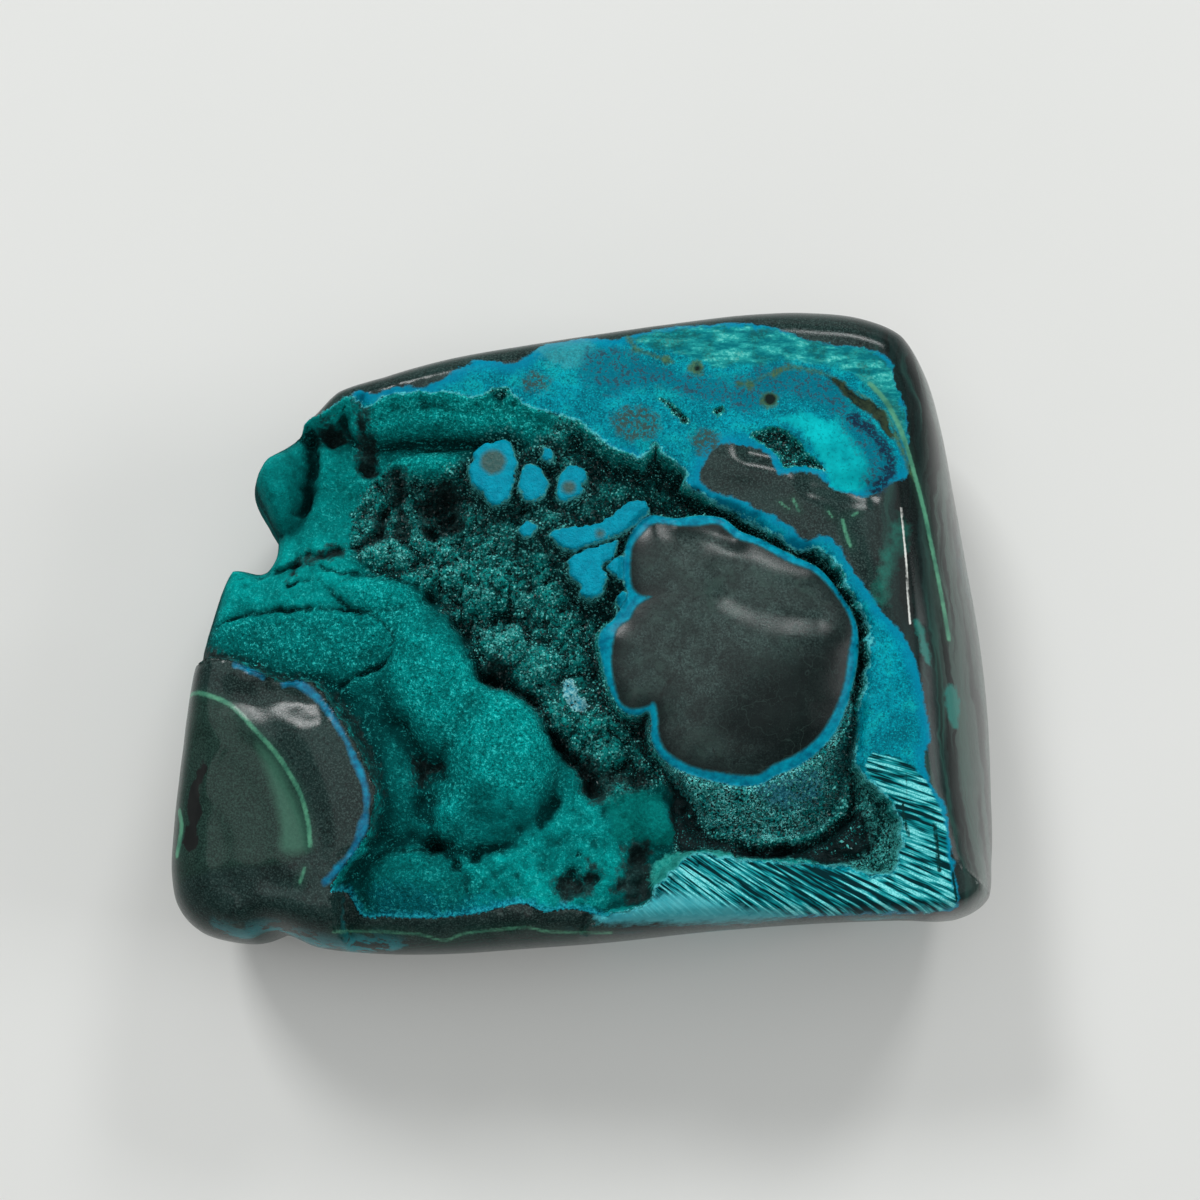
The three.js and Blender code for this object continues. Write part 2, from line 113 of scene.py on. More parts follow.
# ---- The girth: x, y, width of the round-over at the top edge, roundness exponent there ----
FRONT_LEFT = [(-60.4, -30, 9, 2.2), (-60.5, -36, 9, 2.2), (-59.6, -41, 9, 2), (-56.5, -44.4, 9, 2)]
FRONT = [
    (-52, -45.9, 8, 2), (-47.8, -46.1, 7, 2), (-44, -44.9, 6, 2), (-39, -46.7, 7, 2), (-30, -47.6, 7, 2.2),
    (-20, -47.6, 6.5, 2.2), (-8, -46.8, 6, 2.2), (4, -45.9, 5, 2.2), (18, -44.4, 4, 2.2),
    (34, -43.2, 3, 2.2), (47, -42.7, 3, 2.2),
]
FRONT_RIGHT = [(55, -42.6, 4, 2), (59.2, -40, 6, 2), (60.7, -34, 10, 1.7)]
RIGHT = [
    (61.2, -24, 13, 1.6), (61.1, -11, 14, 1.6), (60.2, 0, 14, 1.6), (58.6, 11, 13, 1.6), (57, 22, 12, 1.6),
    (55.4, 31, 10, 1.7),
]
BACK_RIGHT = [(53, 39.5, 9, 1.8), (49, 45.5, 8, 2), (42.8, 48.4, 8, 2)]
BACK = [
    (34, 49.2, 8, 2.1), (24, 48.3, 7, 2.2), (10, 45.9, 6, 2.3), (-6, 43.3, 6, 2.3), (-20, 40.8, 6, 2.3),
    (-30, 38.1, 6, 2.2),
]
KNOB_SIDE = [
    (-37, 35.4, 5, 2.2), (-41, 31.4, 5, 2.2), (-44.6, 28.6, 4, 2), (-48.4, 26.3, 4, 2), (-50.4, 20.7, 4, 2),
    (-48, 15.8, 4, 2),
]
LEFT_GAP = [(-46.4, 12.6, 3, 2), (-47.6, 8.9, 3, 2), (-52.2, 9.1, 3, 2)]
LEFT = [(-54.3, 6.2, 4, 2), (-56.6, -1, 5, 2), (-58.3, -9, 6, 2), (-59.5, -19, 8, 2.1)]
GIRTH_POINTS = [*FRONT_LEFT, *FRONT, *FRONT_RIGHT, *RIGHT, *BACK_RIGHT, *BACK, *KNOB_SIDE, *LEFT_GAP, *LEFT]
CORNER_POINTS = [FRONT_LEFT[2], FRONT_RIGHT[1], BACK_RIGHT[1], KNOB_SIDE[1]]

# ---- Outlines of the relief ----
HOLLOW = [
    (-60, 33), (-50, 33), (-38.3, 29.8), (-33.6, 32.2), (-31.5, 30.6), (-28.6, 31.8), (-21, 32.6),
    (-16, 31.4), (-11.5, 33.2), (-8.6, 30.6), (-3.3, 28.9), (0.4, 27.2), (3, 24.6), (6.5, 22.7), (8.6, 22.6),
    (10.3, 24.6), (12, 22.4), (14.4, 20.9), (15.3, 18), (18.7, 16.2), (22.1, 14.6), (26.5, 11.8), (29, 10.3),
    (31, 9.3), (33.6, 9.2), (35.6, 7.4), (37.2, 4.6), (39.4, 0.4), (40.4, -3), (40, -8.4), (38.6, -14),
    (38.4, -21.4), (41.4, -24.8), (44, -28), (44.4, -33), (42.6, -36.4), (37, -35.6), (30, -34.8),
    (22, -34.3), (15, -33.8), (11, -37.2), (8.6, -40.4), (2, -43), (-4, -52), (-30, -56), (-34, -46),
    (-34.5, -37.5), (-30.1, -31.4), (-28.8, -26.2), (-30.4, -21), (-33.7, -15.1), (-37.9, -10.2),
    (-44, -9.2), (-49.3, -6.8), (-53.8, -6.3), (-66, -6),
]
NODULE = [
    (7.3, 9.8), (8.6, 11.4), (10, 12.7), (13.7, 12.6), (16.5, 12.6), (19.1, 12.8), (21.8, 10.8), (24.9, 9.7),
    (29.1, 7.3), (32.7, 5.9), (35.4, 3.2), (37.6, -0.5), (37.9, -2.6), (37.3, -5.5), (36.7, -9.3),
    (35.8, -12.1), (34.3, -15.2), (32.3, -17.8), (29.6, -19.8), (26.5, -21.2), (24.3, -22.6), (21.6, -22.6),
    (19.4, -22.3), (16.5, -21.8), (13.7, -20.7), (11.5, -19), (10.7, -16.8), (10.6, -14.5), (10, -12.5),
    (8.9, -13.1), (7, -13.4), (5.6, -12.8), (4.8, -10.9), (4.2, -7.7), (4.4, -4.3), (5.1, -2.2), (6.7, -1),
    (7.6, 0.7), (9.8, 2.2), (8.6, 2.5), (7.6, 3.1), (7, 4.2), (6.9, 7.8),
]
NODULE_RIM = [
    (6.1, 9.6), (7.2, 12.2), (9.4, 14.2), (13, 13.9), (17, 14.3), (20, 13.9), (22.4, 12.1), (25.4, 10.9),
    (28.6, 9.2), (31, 8), (33.4, 6.8), (35.2, 5), (37, 2.4), (38.4, -0.2), (39, -3), (38.7, -7), (38, -10),
    (37, -13.2), (35.4, -16.6), (33.2, -19.2), (30.2, -21.4), (27, -22.8), (24.7, -24), (21.5, -24.2),
    (18.5, -23.6), (15.8, -22.9), (13, -21.8), (10.8, -20), (9.6, -17.6), (9.6, -15), (9.2, -13.8),
    (7.6, -14.4), (5.7, -13.9), (4.3, -12), (3.2, -9), (2.5, -5.8), (2.2, -3.6), (3, -2), (4.4, -0.8),
    (5.3, 0.8), (6.3, 2.5), (5.9, 4.4), (5.8, 7),
]
SKIRT = [
    (9, -15), (11.5, -21.5), (15, -26), (17.6, -29.2), (21, -31), (25, -31.6), (30, -31.2), (34.2, -29.6),
    (36.6, -26.6), (37.6, -22), (38, -12),
]
ISLETS = [
    [(-16.4, 20.4), (-15.4, 23.2), (-13.4, 24.9), (-11, 25.2), (-9.9, 23.4), (-9.9, 20.6), (-10.2, 18.2),
     (-10.8, 16.2), (-12.6, 15.6), (-14.2, 17)],
    [(-9.2, 18.4), (-8.6, 20.6), (-7, 21.4), (-5.7, 20.2), (-5.4, 18), (-6.4, 16.3), (-8.2, 16.4)],
    [(-3.9, 18), (-3.3, 19.9), (-1.4, 21.3), (0.3, 20.6), (0.3, 18.8), (-1, 17), (-3, 15.7)],
    [(-6.2, 22.8), (-5.6, 24), (-4.4, 23.4), (-4.6, 22.2)],
    [(-8.9, 11.6), (-7.8, 12.8), (-6.6, 12.2), (-7.4, 10.9)],
    [(-1.9, 6), (-1.4, 8.2), (1.4, 9.2), (3.8, 10.2), (5, 10.3), (4, 8), (2.7, 6.7), (3.2, 5), (2.9, 3.4),
     (1.2, 1.9), (0, 2.4), (-0.4, 4)],
    [(-3.4, 9.4), (-4.4, 11.2), (-1.6, 12.4), (1.6, 12.4), (4, 13.6), (6.4, 15.8), (8.6, 16), (9.6, 14.8),
     (8, 13.4), (6, 11.8), (4.4, 11), (1, 9.8), (-1.6, 9)],
    [(3.4, 6.5), (4.4, 7.7), (6.4, 8.2), (7.4, 6.4), (6.2, 5), (4.4, 5.4)],
    [(4.5, 0.8), (5, 2.4), (6.6, 3), (7.8, 2.2), (7, 0.8), (5.6, 0.2)],
]
# Depths of the hollow's floor below the polished top: x, y, depth.
FLOOR_DEPTHS = [
    (-50, 4, 6.5), (-40, 5.5, 5.6), (-28, 3, 5.4), (-50, -3, 5.6), (-38, -4, 5), (-30, -2, 5.2),
    (-34, -9, 6.5), (-31, -14, 7.5), (-28, -29, 8.5), (-30, -35, 6), (-44, 9.5, 8), (-38, 16, 8.5),
    (-40, 25, 7), (-33, 27, 7), (-26, 24, 6.5), (-17, 24, 6.2), (-21, 18, 11), (-26, 16, 9.5),
    (-27, 10, 8.5), (-18, 8, 8), (-13, 12, 5), (-8, 14, 3), (-3, 21, 3), (-4, 25, 5), (3, 21, 7.5),
    (10, 19, 8.5), (-4, 6, 4.5), (-3, 0, 6.5), (-9, -1, 8), (-14, 0, 8.5), (-3, -9, 8), (2, -14, 8.5),
    (6, -19, 8.5), (1, -25, 7), (-2, -33, 6), (8, -31, 6.5), (14, -27, 7.5), (-12, -37, 5), (4, -38, 4.5),
    (-20, -41, 3.8), (-8, -41, 3.4), (18, -33, 5.5), (30, -33, 5.5), (40, -30, 5), (41, -35, 4.5),
]
# Rounded lumps: centre, half widths, turn in degrees, depth of the crown, depth of the foot.
LUMPS = [
    ((-12, -20.3), (8.4, 11.6), 10, 2, 9.5),
    ((-21.5, -8.5), (8, 12.5), 18, 2.8, 9.5),
    ((-27, -24.5), (4.6, 8.5), 0, 5, 9.5),
    ((-18.5, -27.5), (7, 5.4), 15, 4, 9.5),
    ((-23.9, -37.6), (7.6, 5.6), 0, 3, 7.5),
    ((-45.4, 20), (4.8, 7.4), 4, 3.4, 13),
    ((-11.5, -3.5), (3.6, 3.2), 0, 4.8, 9),
    ((-5.5, -6.5), (3.4, 3), 0, 5.2, 9),
    ((-13.5, 4), (4.2, 3.4), 20, 5, 8.5),
    ((-19, 7.8), (3.8, 3.2), -20, 5.4, 8.5),
    ((-29, 9.4), (4.4, 2.8), 0, 6, 9.5),
    ((-22.5, 22.8), (6.6, 2.2), 4, 5, 7.5),
    ((-30.6, 3.5), (5.4, 2.4), -6, 4.3, 6),
    ((10.2, -29), (3, 3.6), 0, 4.2, 7.5),
    ((3, -17), (4.4, 4), -30, 6.6, 9),
]
# Long ridges: centre line, half width, depth of the crown, depth of the foot.
RIDGES = [([(-31, 29.6), (-22, 30.4), (-13, 29.4), (-5, 26.4)], 3.8, 1.6, 6.5)]
# Cracks: centre line, half width, extra depth.
CRACKS = [
    ([(-24.5, 5), (-21, 2), (-18, -1), (-15.6, -5), (-14.6, -8.2), (-11, -9.4), (-7.6, -11.6), (-5, -15),
      (-3.4, -18), (-0.5, -21), (1.3, -24.4)], 0.9, 4.5),
    ([(-14.6, -8.2), (-12.4, -8.6), (-10.2, -8.6)], 1.1, 2),
    ([(-5, -15), (-3.4, -18), (-0.5, -21), (1.3, -24.4)], 1.3, 1.5),
    ([(1.3, -22.6), (4, -21.6), (6.6, -21.8), (8.2, -23.2)], 1.2, 1.6),
    ([(15.3, 17.2), (22.2, 14.2), (28.6, 10), (33.6, 8), (36.4, 4), (39, 0), (39.8, -4), (38.9, -12),
      (37.6, -20)], 0.6, 3),
    ([(13, -26), (17, -31.2), (24, -33), (33, -32), (38.2, -27), (38.2, -22)], 0.8, 3.5),
    ([(-32.8, 31.8), (-32.2, 28.4), (-31.2, 25)], 0.8, 1.8),
    ([(-27.4, 21.8), (-27.2, 19), (-28.8, 16.6)], 0.8, 2.2),
    ([(-29.6, 16), (-30, 13.4), (-32.4, 11.4)], 0.9, 2.6), ([(-27, 16.4), (-26.8, 12.6)], 0.8, 2.4),
    ([(-40.4, 27.4), (-40.2, 23.5), (-41.2, 18), (-43.6, 13.6)], 1.1, 3.4),
    ([(-42.6, 7.2), (-41.4, 9.4), (-38.4, 9.7), (-35.8, 10.8)], 0.6, 1.2),
    ([(-42.8, 5.1), (-38, 5.6), (-35.4, 3.2), (-33.8, 2)], 0.35, 1.2),
    ([(-53.5, -0.7), (-48.7, 1.1), (-40.7, 1.5), (-32.1, 1), (-28.4, -0.9), (-27.2, -3), (-27.4, -5),
      (-28.9, -6.8), (-31, -7.8), (-33, -8.6), (-35, -10)], 0.32, 1.7),
    ([(-28.8, -33.6), (-24, -32.7), (-20, -33.2), (-17, -36), (-15.6, -39.8)], 0.4, 1.4),
    ([(-26.5, -15.5), (-24.6, -19), (-23.2, -22), (-22.4, -26), (-22, -30), (-21, -32.4)], 1.5, 3.4),
    ([(-24, -20.4), (-20.4, -21.4)], 1.0, 1.8),
    ([(-21, -32.4), (-16.4, -33.4), (-11.6, -32.2), (-7, -29.4), (-4.4, -26.4)], 1.3, 2.2),
    ([(-51.5, 6.6), (-44.9, 7.4), (-40.9, 8.4), (-35, 6.9), (-29.2, 6.6), (-24.1, 5)], 0.4, 1.4),
    ([(-31, 26.4), (-24, 26), (-14, 25.6), (-8, 25)], 0.6, 1.6),
    ([(-15, 4.6), (-16.2, 0.4), (-16.8, -2)], 0.3, 1.2), ([(-10.6, 4), (-10.8, 0), (-12, -2)], 0.4, 1.6),
    ([(-5, 3.2), (-5.6, -0.6), (-4.4, -4), (-5.4, -9)], 0.3, 1.2),
    ([(5.6, -25.4), (5, -27.4), (6.8, -29.2), (7.4, -31.6)], 0.2, 0.5),
    ([(8, -25), (7.4, -27.4), (9.2, -29)], 0.2, 0.5),
    ([(-12.6, -9.8), (-12.2, -12), (-11.2, -13.2)], 0.15, 0.4),
]
# Round pits: centre, half width, depth.
PITS = [
    ((-37, 27.4), 1.5, 2), ((-31.6, 22.8), 1.5, 2), ((-32.6, 14.8), 1, 1), ((-21.4, 17.6), 2, 2.4),
    ((-19.6, 14.6), 1.6, 2.6), ((-22.4, 13), 1.2, 2), ((-17.8, -35.2), 0.8, 2), ((-15.2, -34.3), 0.8, 1.6),
    ((-1.4, -37.4), 1.7, 2.2), ((1.2, -37), 1, 1.6), ((-0.7, -33.7), 0.35, 0.8), ((13.2, -23.6), 0.9, 2.4),
    ((7.8, -34), 1.4, 1.6), ((8.6, -37.6), 1.1, 1.4), ((12.5, -37.4), 0.55, 1.2), ((10.3, -39.3), 0.6, 1.2),
    ((7.4, -40.5), 0.5, 1), ((17.9, -33), 0.5, 1), ((16, -35.3), 0.4, 1), ((-20, -25.6), 1.4, 1),
]
# Broad swells and dips of the polished top: centre, half widths, turn in degrees, height.
SWELLS = [
    ((-45, -24), (9, 5), -50, -0.9), ((-36, -22), (4, 9), 10, 0.7), ((-57, -27), (3, 10), 0, 0.6),
    ((-48, -39), (10, 2.5), 8, -0.8), ((22, 21.5), (5, 3), 10, 0.7), ((31, 18), (4.5, 3), -20, 0.8),
    ((42, 6), (3, 14), 18, -0.7), ((25, -7), (14, 14), 0, 1.3), ((42, 31), (4, 2), -50, -0.3),
]
# Long gentle waves in the polish: centre line, half width, height.
WAVES = [
    ([(-50, -11.2), (-46.6, -11.6), (-43, -12), (-39, -11.6), (-35.4, -11.8)], 2.8, -1.1),
    ([(-49.5, -10.4), (-46, -8.8), (-42, -9.6), (-38.4, -10.8)], 1.2, 0.35),
    ([(-54, -17.6), (-55, -24), (-55.4, -32)], 1.7, -0.6),
    ([(-52, -35.2), (-47, -34.6), (-42, -34.4)], 1.5, 0.4),
    ([(32.6, 18.8), (36.6, 18.4), (40.6, 17.6)], 2.1, -1.0),
    ([(-47, -16.6), (-41, -17.4), (-36.6, -16.8)], 1.9, 0.3),
    ([(17.6, 19), (22, 17.8), (27, 17.4)], 1.8, -0.5), ([(24, 23.4), (28.4, 22.8), (34, 22)], 1.9, -0.95),
    ([(13.6, 12.6), (17.4, 12), (21.4, 10.6)], 1.6, -0.5), ([(21, 2.6), (26, 0.8), (33, 0)], 3.2, -1.0),
    ([(15.4, -4.6), (18.6, -8.6), (24, -11.4)], 2.8, -0.6),
    ([(-50.6, -18.6), (-52.6, -22.4), (-53, -25.4)], 1.0, 0.4),
]

# ---- Outlines of the markings ----
# The polished blue field.
BLUE_FIELD = [
    (-37.8, 29.4), (-34.1, 31.9), (-32.7, 33.1), (-30.6, 32.3), (-27, 33.3), (-23.2, 33.2), (-19.2, 35),
    (-15.9, 37.1), (-13, 37), (-10.4, 36.5), (-8.3, 37.5), (-5.6, 39.9), (-2.5, 40.7), (0.9, 41),
    (3.9, 40.3), (6.5, 41), (9, 41.8), (13.1, 42.8), (17.9, 43), (22.4, 43.4), (28.1, 42.4), (33.5, 40.4),
    (36.3, 40), (40.2, 39.7), (44.7, 37.9), (45.1, 34.3), (46.5, 31.4), (47, 24.3), (46.4, 20.3),
    (44.2, 18.9), (42.1, 17.7), (39.8, 17.2), (37.5, 17.7), (35.6, 18.3), (34.2, 19.6), (32.8, 20.3),
    (30.5, 20.4), (27.9, 19.8), (27.2, 21), (26.9, 22.5), (24.9, 23.9), (21.9, 24.4), (19.5, 24.3),
    (17.9, 22.7), (16.7, 20.5), (16.7, 18.9), (19.4, 17), (22.1, 16.3), (24.7, 14.9), (27.4, 13.6),
    (29.7, 12.1), (31.1, 10.4), (33.3, 10.9), (34.7, 10.9), (36.2, 9.6), (37.5, 7.4), (40.1, 3.4),
    (42.7, -0.3), (44.8, -2.4), (46.4, -5.8), (47.5, -9.7), (48.2, -13.8), (48.7, -17.2), (47.8, -20.4),
    (49, -24.6), (50.5, -26.5), (51.2, -31.5), (51.9, -37.5), (52.3, -41.1), (49.7, -41.5), (38.5, -41.9),
    (27.3, -42.2), (16.2, -41.9), (7.9, -42.1), (2.4, -42.6), (2.4, -37.2), (16.3, -26.2), (37.4, -12.2),
    (35, 4.8), (22.3, 13.4), (13.8, 19.2), (2.4, 23.6), (-12, 28.2), (-26.4, 28.4), (-37.8, 27.8),
]
# The polished band along the front, where the crust stops.
FRONT_BAND = [
    (4, -42.3), (-1.8, -41.1), (-5.5, -41.5), (-8.4, -40.4), (-15, -41.8), (-21.7, -42.4), (-28.1, -42.2),
    (-31.1, -42.1), (-33.8, -38.6), (-40, -44), (-44, -60), (0, -60), (60, -60), (60, -43.2), (30, -42.8),
]
# Paler zones of the blue field.
AQUA = [
    (7.6, 40.4), (11.1, 42), (18, 42.6), (24.3, 42.6), (30.2, 41.6), (36, 40.2), (41.9, 39.2), (45, 36.2),
    (46, 32.6), (46.8, 25.8), (45.2, 28), (42.2, 33.4), (38.4, 36), (34, 37), (29, 37.2), (24, 36.4),
    (19.4, 36.2), (15.5, 37.6), (11, 38.8),
]
PALE_PATCH = [
    (-6.8, 38.6), (-4.6, 40.2), (-1.2, 40.6), (1.4, 39.8), (1.4, 37.1), (-0.8, 35.8), (-3.4, 36.2),
    (-5.6, 36.9),
]
TURQUOISE = [
    (28.4, 28.4), (30.8, 29.2), (33.8, 28.8), (38.2, 26.6), (40.6, 23), (41.3, 19.9), (40, 18.1),
    (37.2, 17.9), (35.5, 18.5), (34.8, 21.4), (33.2, 24), (31.6, 26.4),
]
# Mottled patches of the blue field, its dark olive wedge and the zones of its mauve specks.
OLIVE_PATCH = [
    (4, 28.2), (5.6, 29.7), (8.1, 30), (10.3, 28.9), (11.1, 27), (9.8, 25.2), (7.3, 24.7), (4.8, 25.7),
]
GREY_PATCHES = [
    [(15.3, 25.2), (16.7, 26.6), (18.7, 26.1), (19.3, 24.6), (17.8, 23.1), (16.1, 23.4)],
    [(-8.6, 34.4), (-7, 35.2), (-5.2, 34.6), (-5, 33), (-6.8, 32.2), (-8.4, 33)],
]
OLIVE_WEDGE = [
    (34.8, 35.2), (37, 34.6), (39.6, 32.4), (42.4, 31), (44, 28.4), (44.4, 25.6), (43, 27.2), (41.6, 29.4),
    (39.4, 30.4), (37.8, 32.2), (36.4, 33.8),
]
SPECKLED = [
    [(1, 38.6), (5.3, 38.4), (9.6, 36.6), (15.4, 34.8), (21.1, 34.4), (20.6, 31), (15.3, 31.6), (9.6, 33.4),
     (4.8, 31.9), (1.8, 33.2), (-1, 35)],
    [(21.8, 33.8), (27, 36), (33, 36), (36.6, 33.8), (38.8, 30.6), (37.6, 28.6), (34.2, 30.6), (28.8, 32),
     (25, 29.6), (21.5, 29.8)],
    [(37.6, 28.8), (39.6, 29), (42.4, 26), (44.4, 22.6), (44, 19.6), (42, 17.8), (40.4, 18.6), (40.8, 21.4),
     (39.6, 24.4), (37.6, 26.6)],
]
# Pockets of druse in the polish.
DRUSE_POCKETS = [
    [(23.8, 25.7), (25.7, 26.8), (27.7, 27.2), (30, 26), (32.2, 23.8), (34.9, 20.7), (33, 21.1),
     (30.6, 21.4), (28.9, 21.3), (28.2, 22.7), (26.9, 23.8), (25.2, 24.9)],
    [(10.5, 31.6), (12.2, 30.9), (14, 29.5), (15.5, 27.8), (14.2, 27.4), (12.7, 29.3)],
    [(18.4, 29.2), (19.6, 30), (20.4, 29.4), (19.4, 28.6)],
]
# The striated corner at the front right.
STRIATED = [
    (10.8, -37.6), (15, -33.8), (20, -34.4), (30, -35), (37, -36.2), (42.6, -36.8), (44.6, -33), (44.4, -29),
    (42.4, -25.4), (39.6, -22), (40.6, -19.6), (44, -20.6), (47, -22.6), (49.4, -26.8), (50.6, -30),
    (51, -36), (51.6, -41), (46, -41.6), (38.5, -41.8), (27.3, -42.1), (16.2, -41.9), (7, -42),
]
STRIAE_FOCUS = (-35.4, -0.5)    # the striae fan out from here
STRIAE_DISTANCE = 70            # and are this far from it where their spacing is measured
STRIAE_SPACING = 0.8
# Where the striae are darker.
DENSE_STRIAE = [
    (15, -34.8), (22, -34.2), (32, -35), (42, -36.6), (43, -39), (37, -41), (31, -39.6), (24, -38),
    (17, -36.6),
]
# Pale patches of the crust beside the striated corner.
LIGHT_PATCHES = [
    [(10.6, -34.6), (12.4, -33.4), (15.4, -33.6), (16.6, -35.6), (14.6, -37), (12, -38.4), (9.6, -38),
     (9.6, -36)],
    [(16.8, -34.4), (18.4, -33.2), (20.8, -33.8), (20.4, -35), (18, -35.2)],
]
# The dark basin in front of the skirt, and the aqua specks beside it.
BASIN = [
    (12.8, -24.4), (15, -25.2), (16.6, -29), (20, -32), (28, -32.6), (35, -31), (38.2, -27.6), (40.6, -27),
    (41.4, -30), (40.4, -33.6), (36.4, -35.2), (30, -34.2), (22, -33.6), (17, -32.6), (14.6, -33.6),
    (13, -31.6),
]
AQUA_SPECKS = [
    [(39.2, -26.6), (42, -27.4), (44.6, -30), (44.8, -34.4), (42.8, -37.6), (39, -36), (36, -35.4),
     (40.6, -33.4), (41, -30)],
    [(38.4, -14.8), (40, -12), (41, -16), (41.4, -20), (42.4, -24.4), (40.6, -26.4), (38.6, -23.6),
     (38.6, -19)],
]
# Greyer part of the skirt, and painted shade over its right-hand part.
SKIRT_GREY = [
    (24.4, -24.6), (27.4, -23.6), (31.4, -22), (33.6, -22.8), (33.4, -26), (29.4, -27), (26, -26.8),
]
SKIRT_SHADE = [
    (31, -30.8), (34.4, -28.6), (35, -24), (34.6, -20), (38, -14), (39.6, -22), (37.4, -30), (32, -33),
]
# Smooth teal patch of the crust.
PLASTER = [
    (2.8, -25.6), (5, -25), (8.6, -24.4), (11.2, -25.2), (11.6, -28), (12.8, -29.6), (12.6, -32),
    (10.4, -32.2), (8, -31.8), (6.4, -31.4), (4.4, -31.6), (4, -28.6),
]
# Black zones of the crust.
BLACK_CRUST = [
    [(0.6, -19.6), (2.4, -20), (3, -22), (8.6, -21.6), (8.6, -24.2), (5.4, -24), (2.6, -26.2), (0, -24.4),
     (-0.6, -22)],
    [(6.4, -32.4), (9.4, -32), (9, -34.4), (10, -36.4), (9, -40), (6.8, -40), (4.4, -38.6), (5.6, -35.6)],
    [(-4, -38.2), (-2.8, -36.2), (0.4, -36.6), (1.2, -34.8), (2, -37), (0.4, -39.4), (-3, -39.8)],
    [(12.4, -22.4), (14.6, -22.8), (15, -25), (12.6, -25)],
    [(-24.2, 17.6), (-22.6, 20.2), (-20.4, 20.9), (-18, 19.8), (-17.4, 17), (-17.6, 13.6), (-19.8, 12.2),
     (-23.2, 12.6), (-24.4, 15)],
    [(-28.4, 22.2), (-26, 22), (-25.6, 20), (-27, 17.8), (-28.8, 18.6)],
    [(-31, 16.2), (-28.6, 16.6), (-29, 13), (-31.6, 10.8), (-33, 11.4), (-31, 13)],
    [(-27.4, 17), (-26, 16), (-25.4, 12.6), (-27.4, 12.4)],
    [(-38.6, 28.6), (-36, 29), (-35, 27), (-36.6, 26), (-38.4, 26.6)],
    [(-33.2, 32.6), (-31.6, 31.6), (-31, 27), (-30.2, 22.4), (-32.4, 21.6), (-33.4, 24), (-32.8, 28)],
    [(-42.6, 6.8), (-42.2, 9), (-38.6, 10.2), (-35.6, 11.4), (-35, 10), (-38, 8.8), (-40.4, 8.6)],
    [(-24.6, -20), (-22, -20.4), (-20.2, -21.4), (-22.2, -22.6), (-23.4, -24.4)],
    [(-13.6, -5.6), (-11.4, -6), (-11, -8), (-13.4, -8.4)],
    [(8, -14.6), (9.4, -14.8), (10.2, -17), (10.6, -18.8), (9.2, -18.4), (8.2, -16.6)],
    [(-57, -4), (-52, -4.6), (-45, -8), (-40, -8.6), (-36, -11), (-32, -15.6), (-29.4, -21), (-28.6, -26),
     (-30, -31), (-31.4, -30), (-30.4, -25), (-32, -19), (-36, -13), (-41, -10.6), (-49, -9), (-57, -8)],
]
# The big nodule's paler mottled part, which also paints in part of its sheen, its painted shade on the lower
# right, and the seams between its lobes with their half widths.
PALE_AND_SHEEN_HEART = [
    (13, 13.4), (19, 13.8), (24, 11), (30, 8), (34, 4), (34, -1), (30, -4), (25, -6), (20, -10), (14.6, -12),
    (9.4, -8), (8, -3), (9.6, 2), (12, 7),
]
SHADED_HEART = [(24, -9), (30, -6), (37, -3), (38, -10), (35, -17), (29, -21), (22, -20), (18, -15)]
LOBE_LINES = [
    ([(8.4, 2.2), (11.6, 0.8), (14, -2.8), (13.6, -7), (10.8, -12)], 0.25),
    ([(12.6, 13.2), (13.2, 9.6), (10.6, 6.2)], 0.2), ([(20.6, 4.2), (24, 3), (29, 2.9), (34, 2)], 0.14),
]
# Velvet that turns bluer, and parts of the crust darkened with painted shade.
BLUE_EDGES = [
    [(-29.6, -38.6), (-26, -37.4), (-22, -38.4), (-19.6, -40.6), (-21, -43.4), (-28, -43.6)],
    [(-18.6, -40.4), (-12, -39.8), (-6, -40.8), (-6, -43.4), (-18, -43.6)],
]
CRUST_SHADE = [
    [(-14, -24), (-9, -26), (-4.4, -22), (-3, -17), (-1.6, -22), (-4, -27), (-9, -31), (-15, -32),
     (-19, -30)],
    [(-30.6, 10.6), (-24, 8), (-17, 4), (-12, 6), (-14, 12), (-20, 16), (-27, 15)],
    [(-33, -12), (-28, -10), (-25, -16), (-23.4, -24), (-22, -31), (-26, -33.4), (-30, -31), (-28.6, -24),
     (-31, -18)],
    [(-32, -34.4), (-28, -33.6), (-21, -33.4), (-16.4, -36), (-16, -41), (-24, -43), (-31, -42)],
    [(-4, -20), (2, -19), (6, -24), (14, -24), (15, -32), (12, -41), (4, -41), (6, -33), (2, -27)],
    [(-23, -1), (-17, -5), (-13, -8.6), (-11, -6), (-14, 2), (-20, 6)],
    [(-48, 22), (-43, 25), (-39.5, 21), (-41, 14), (-46, 12)],
]
WHITE_CRUST = [
    (-2.6, -8.8), (-2.2, -8.2), (-1.4, -9), (-0.6, -11), (0.8, -12), (0.2, -13), (-1.4, -13), (-2.6, -10.8),
]
# Pale foot of the striated corner.
BRIGHT_BASE = [
    (1.8, -42.6), (1.6, -40.6), (6, -40.8), (12, -39), (16, -39.6), (22, -41), (30, -42), (22, -43),
    (10, -43),
]
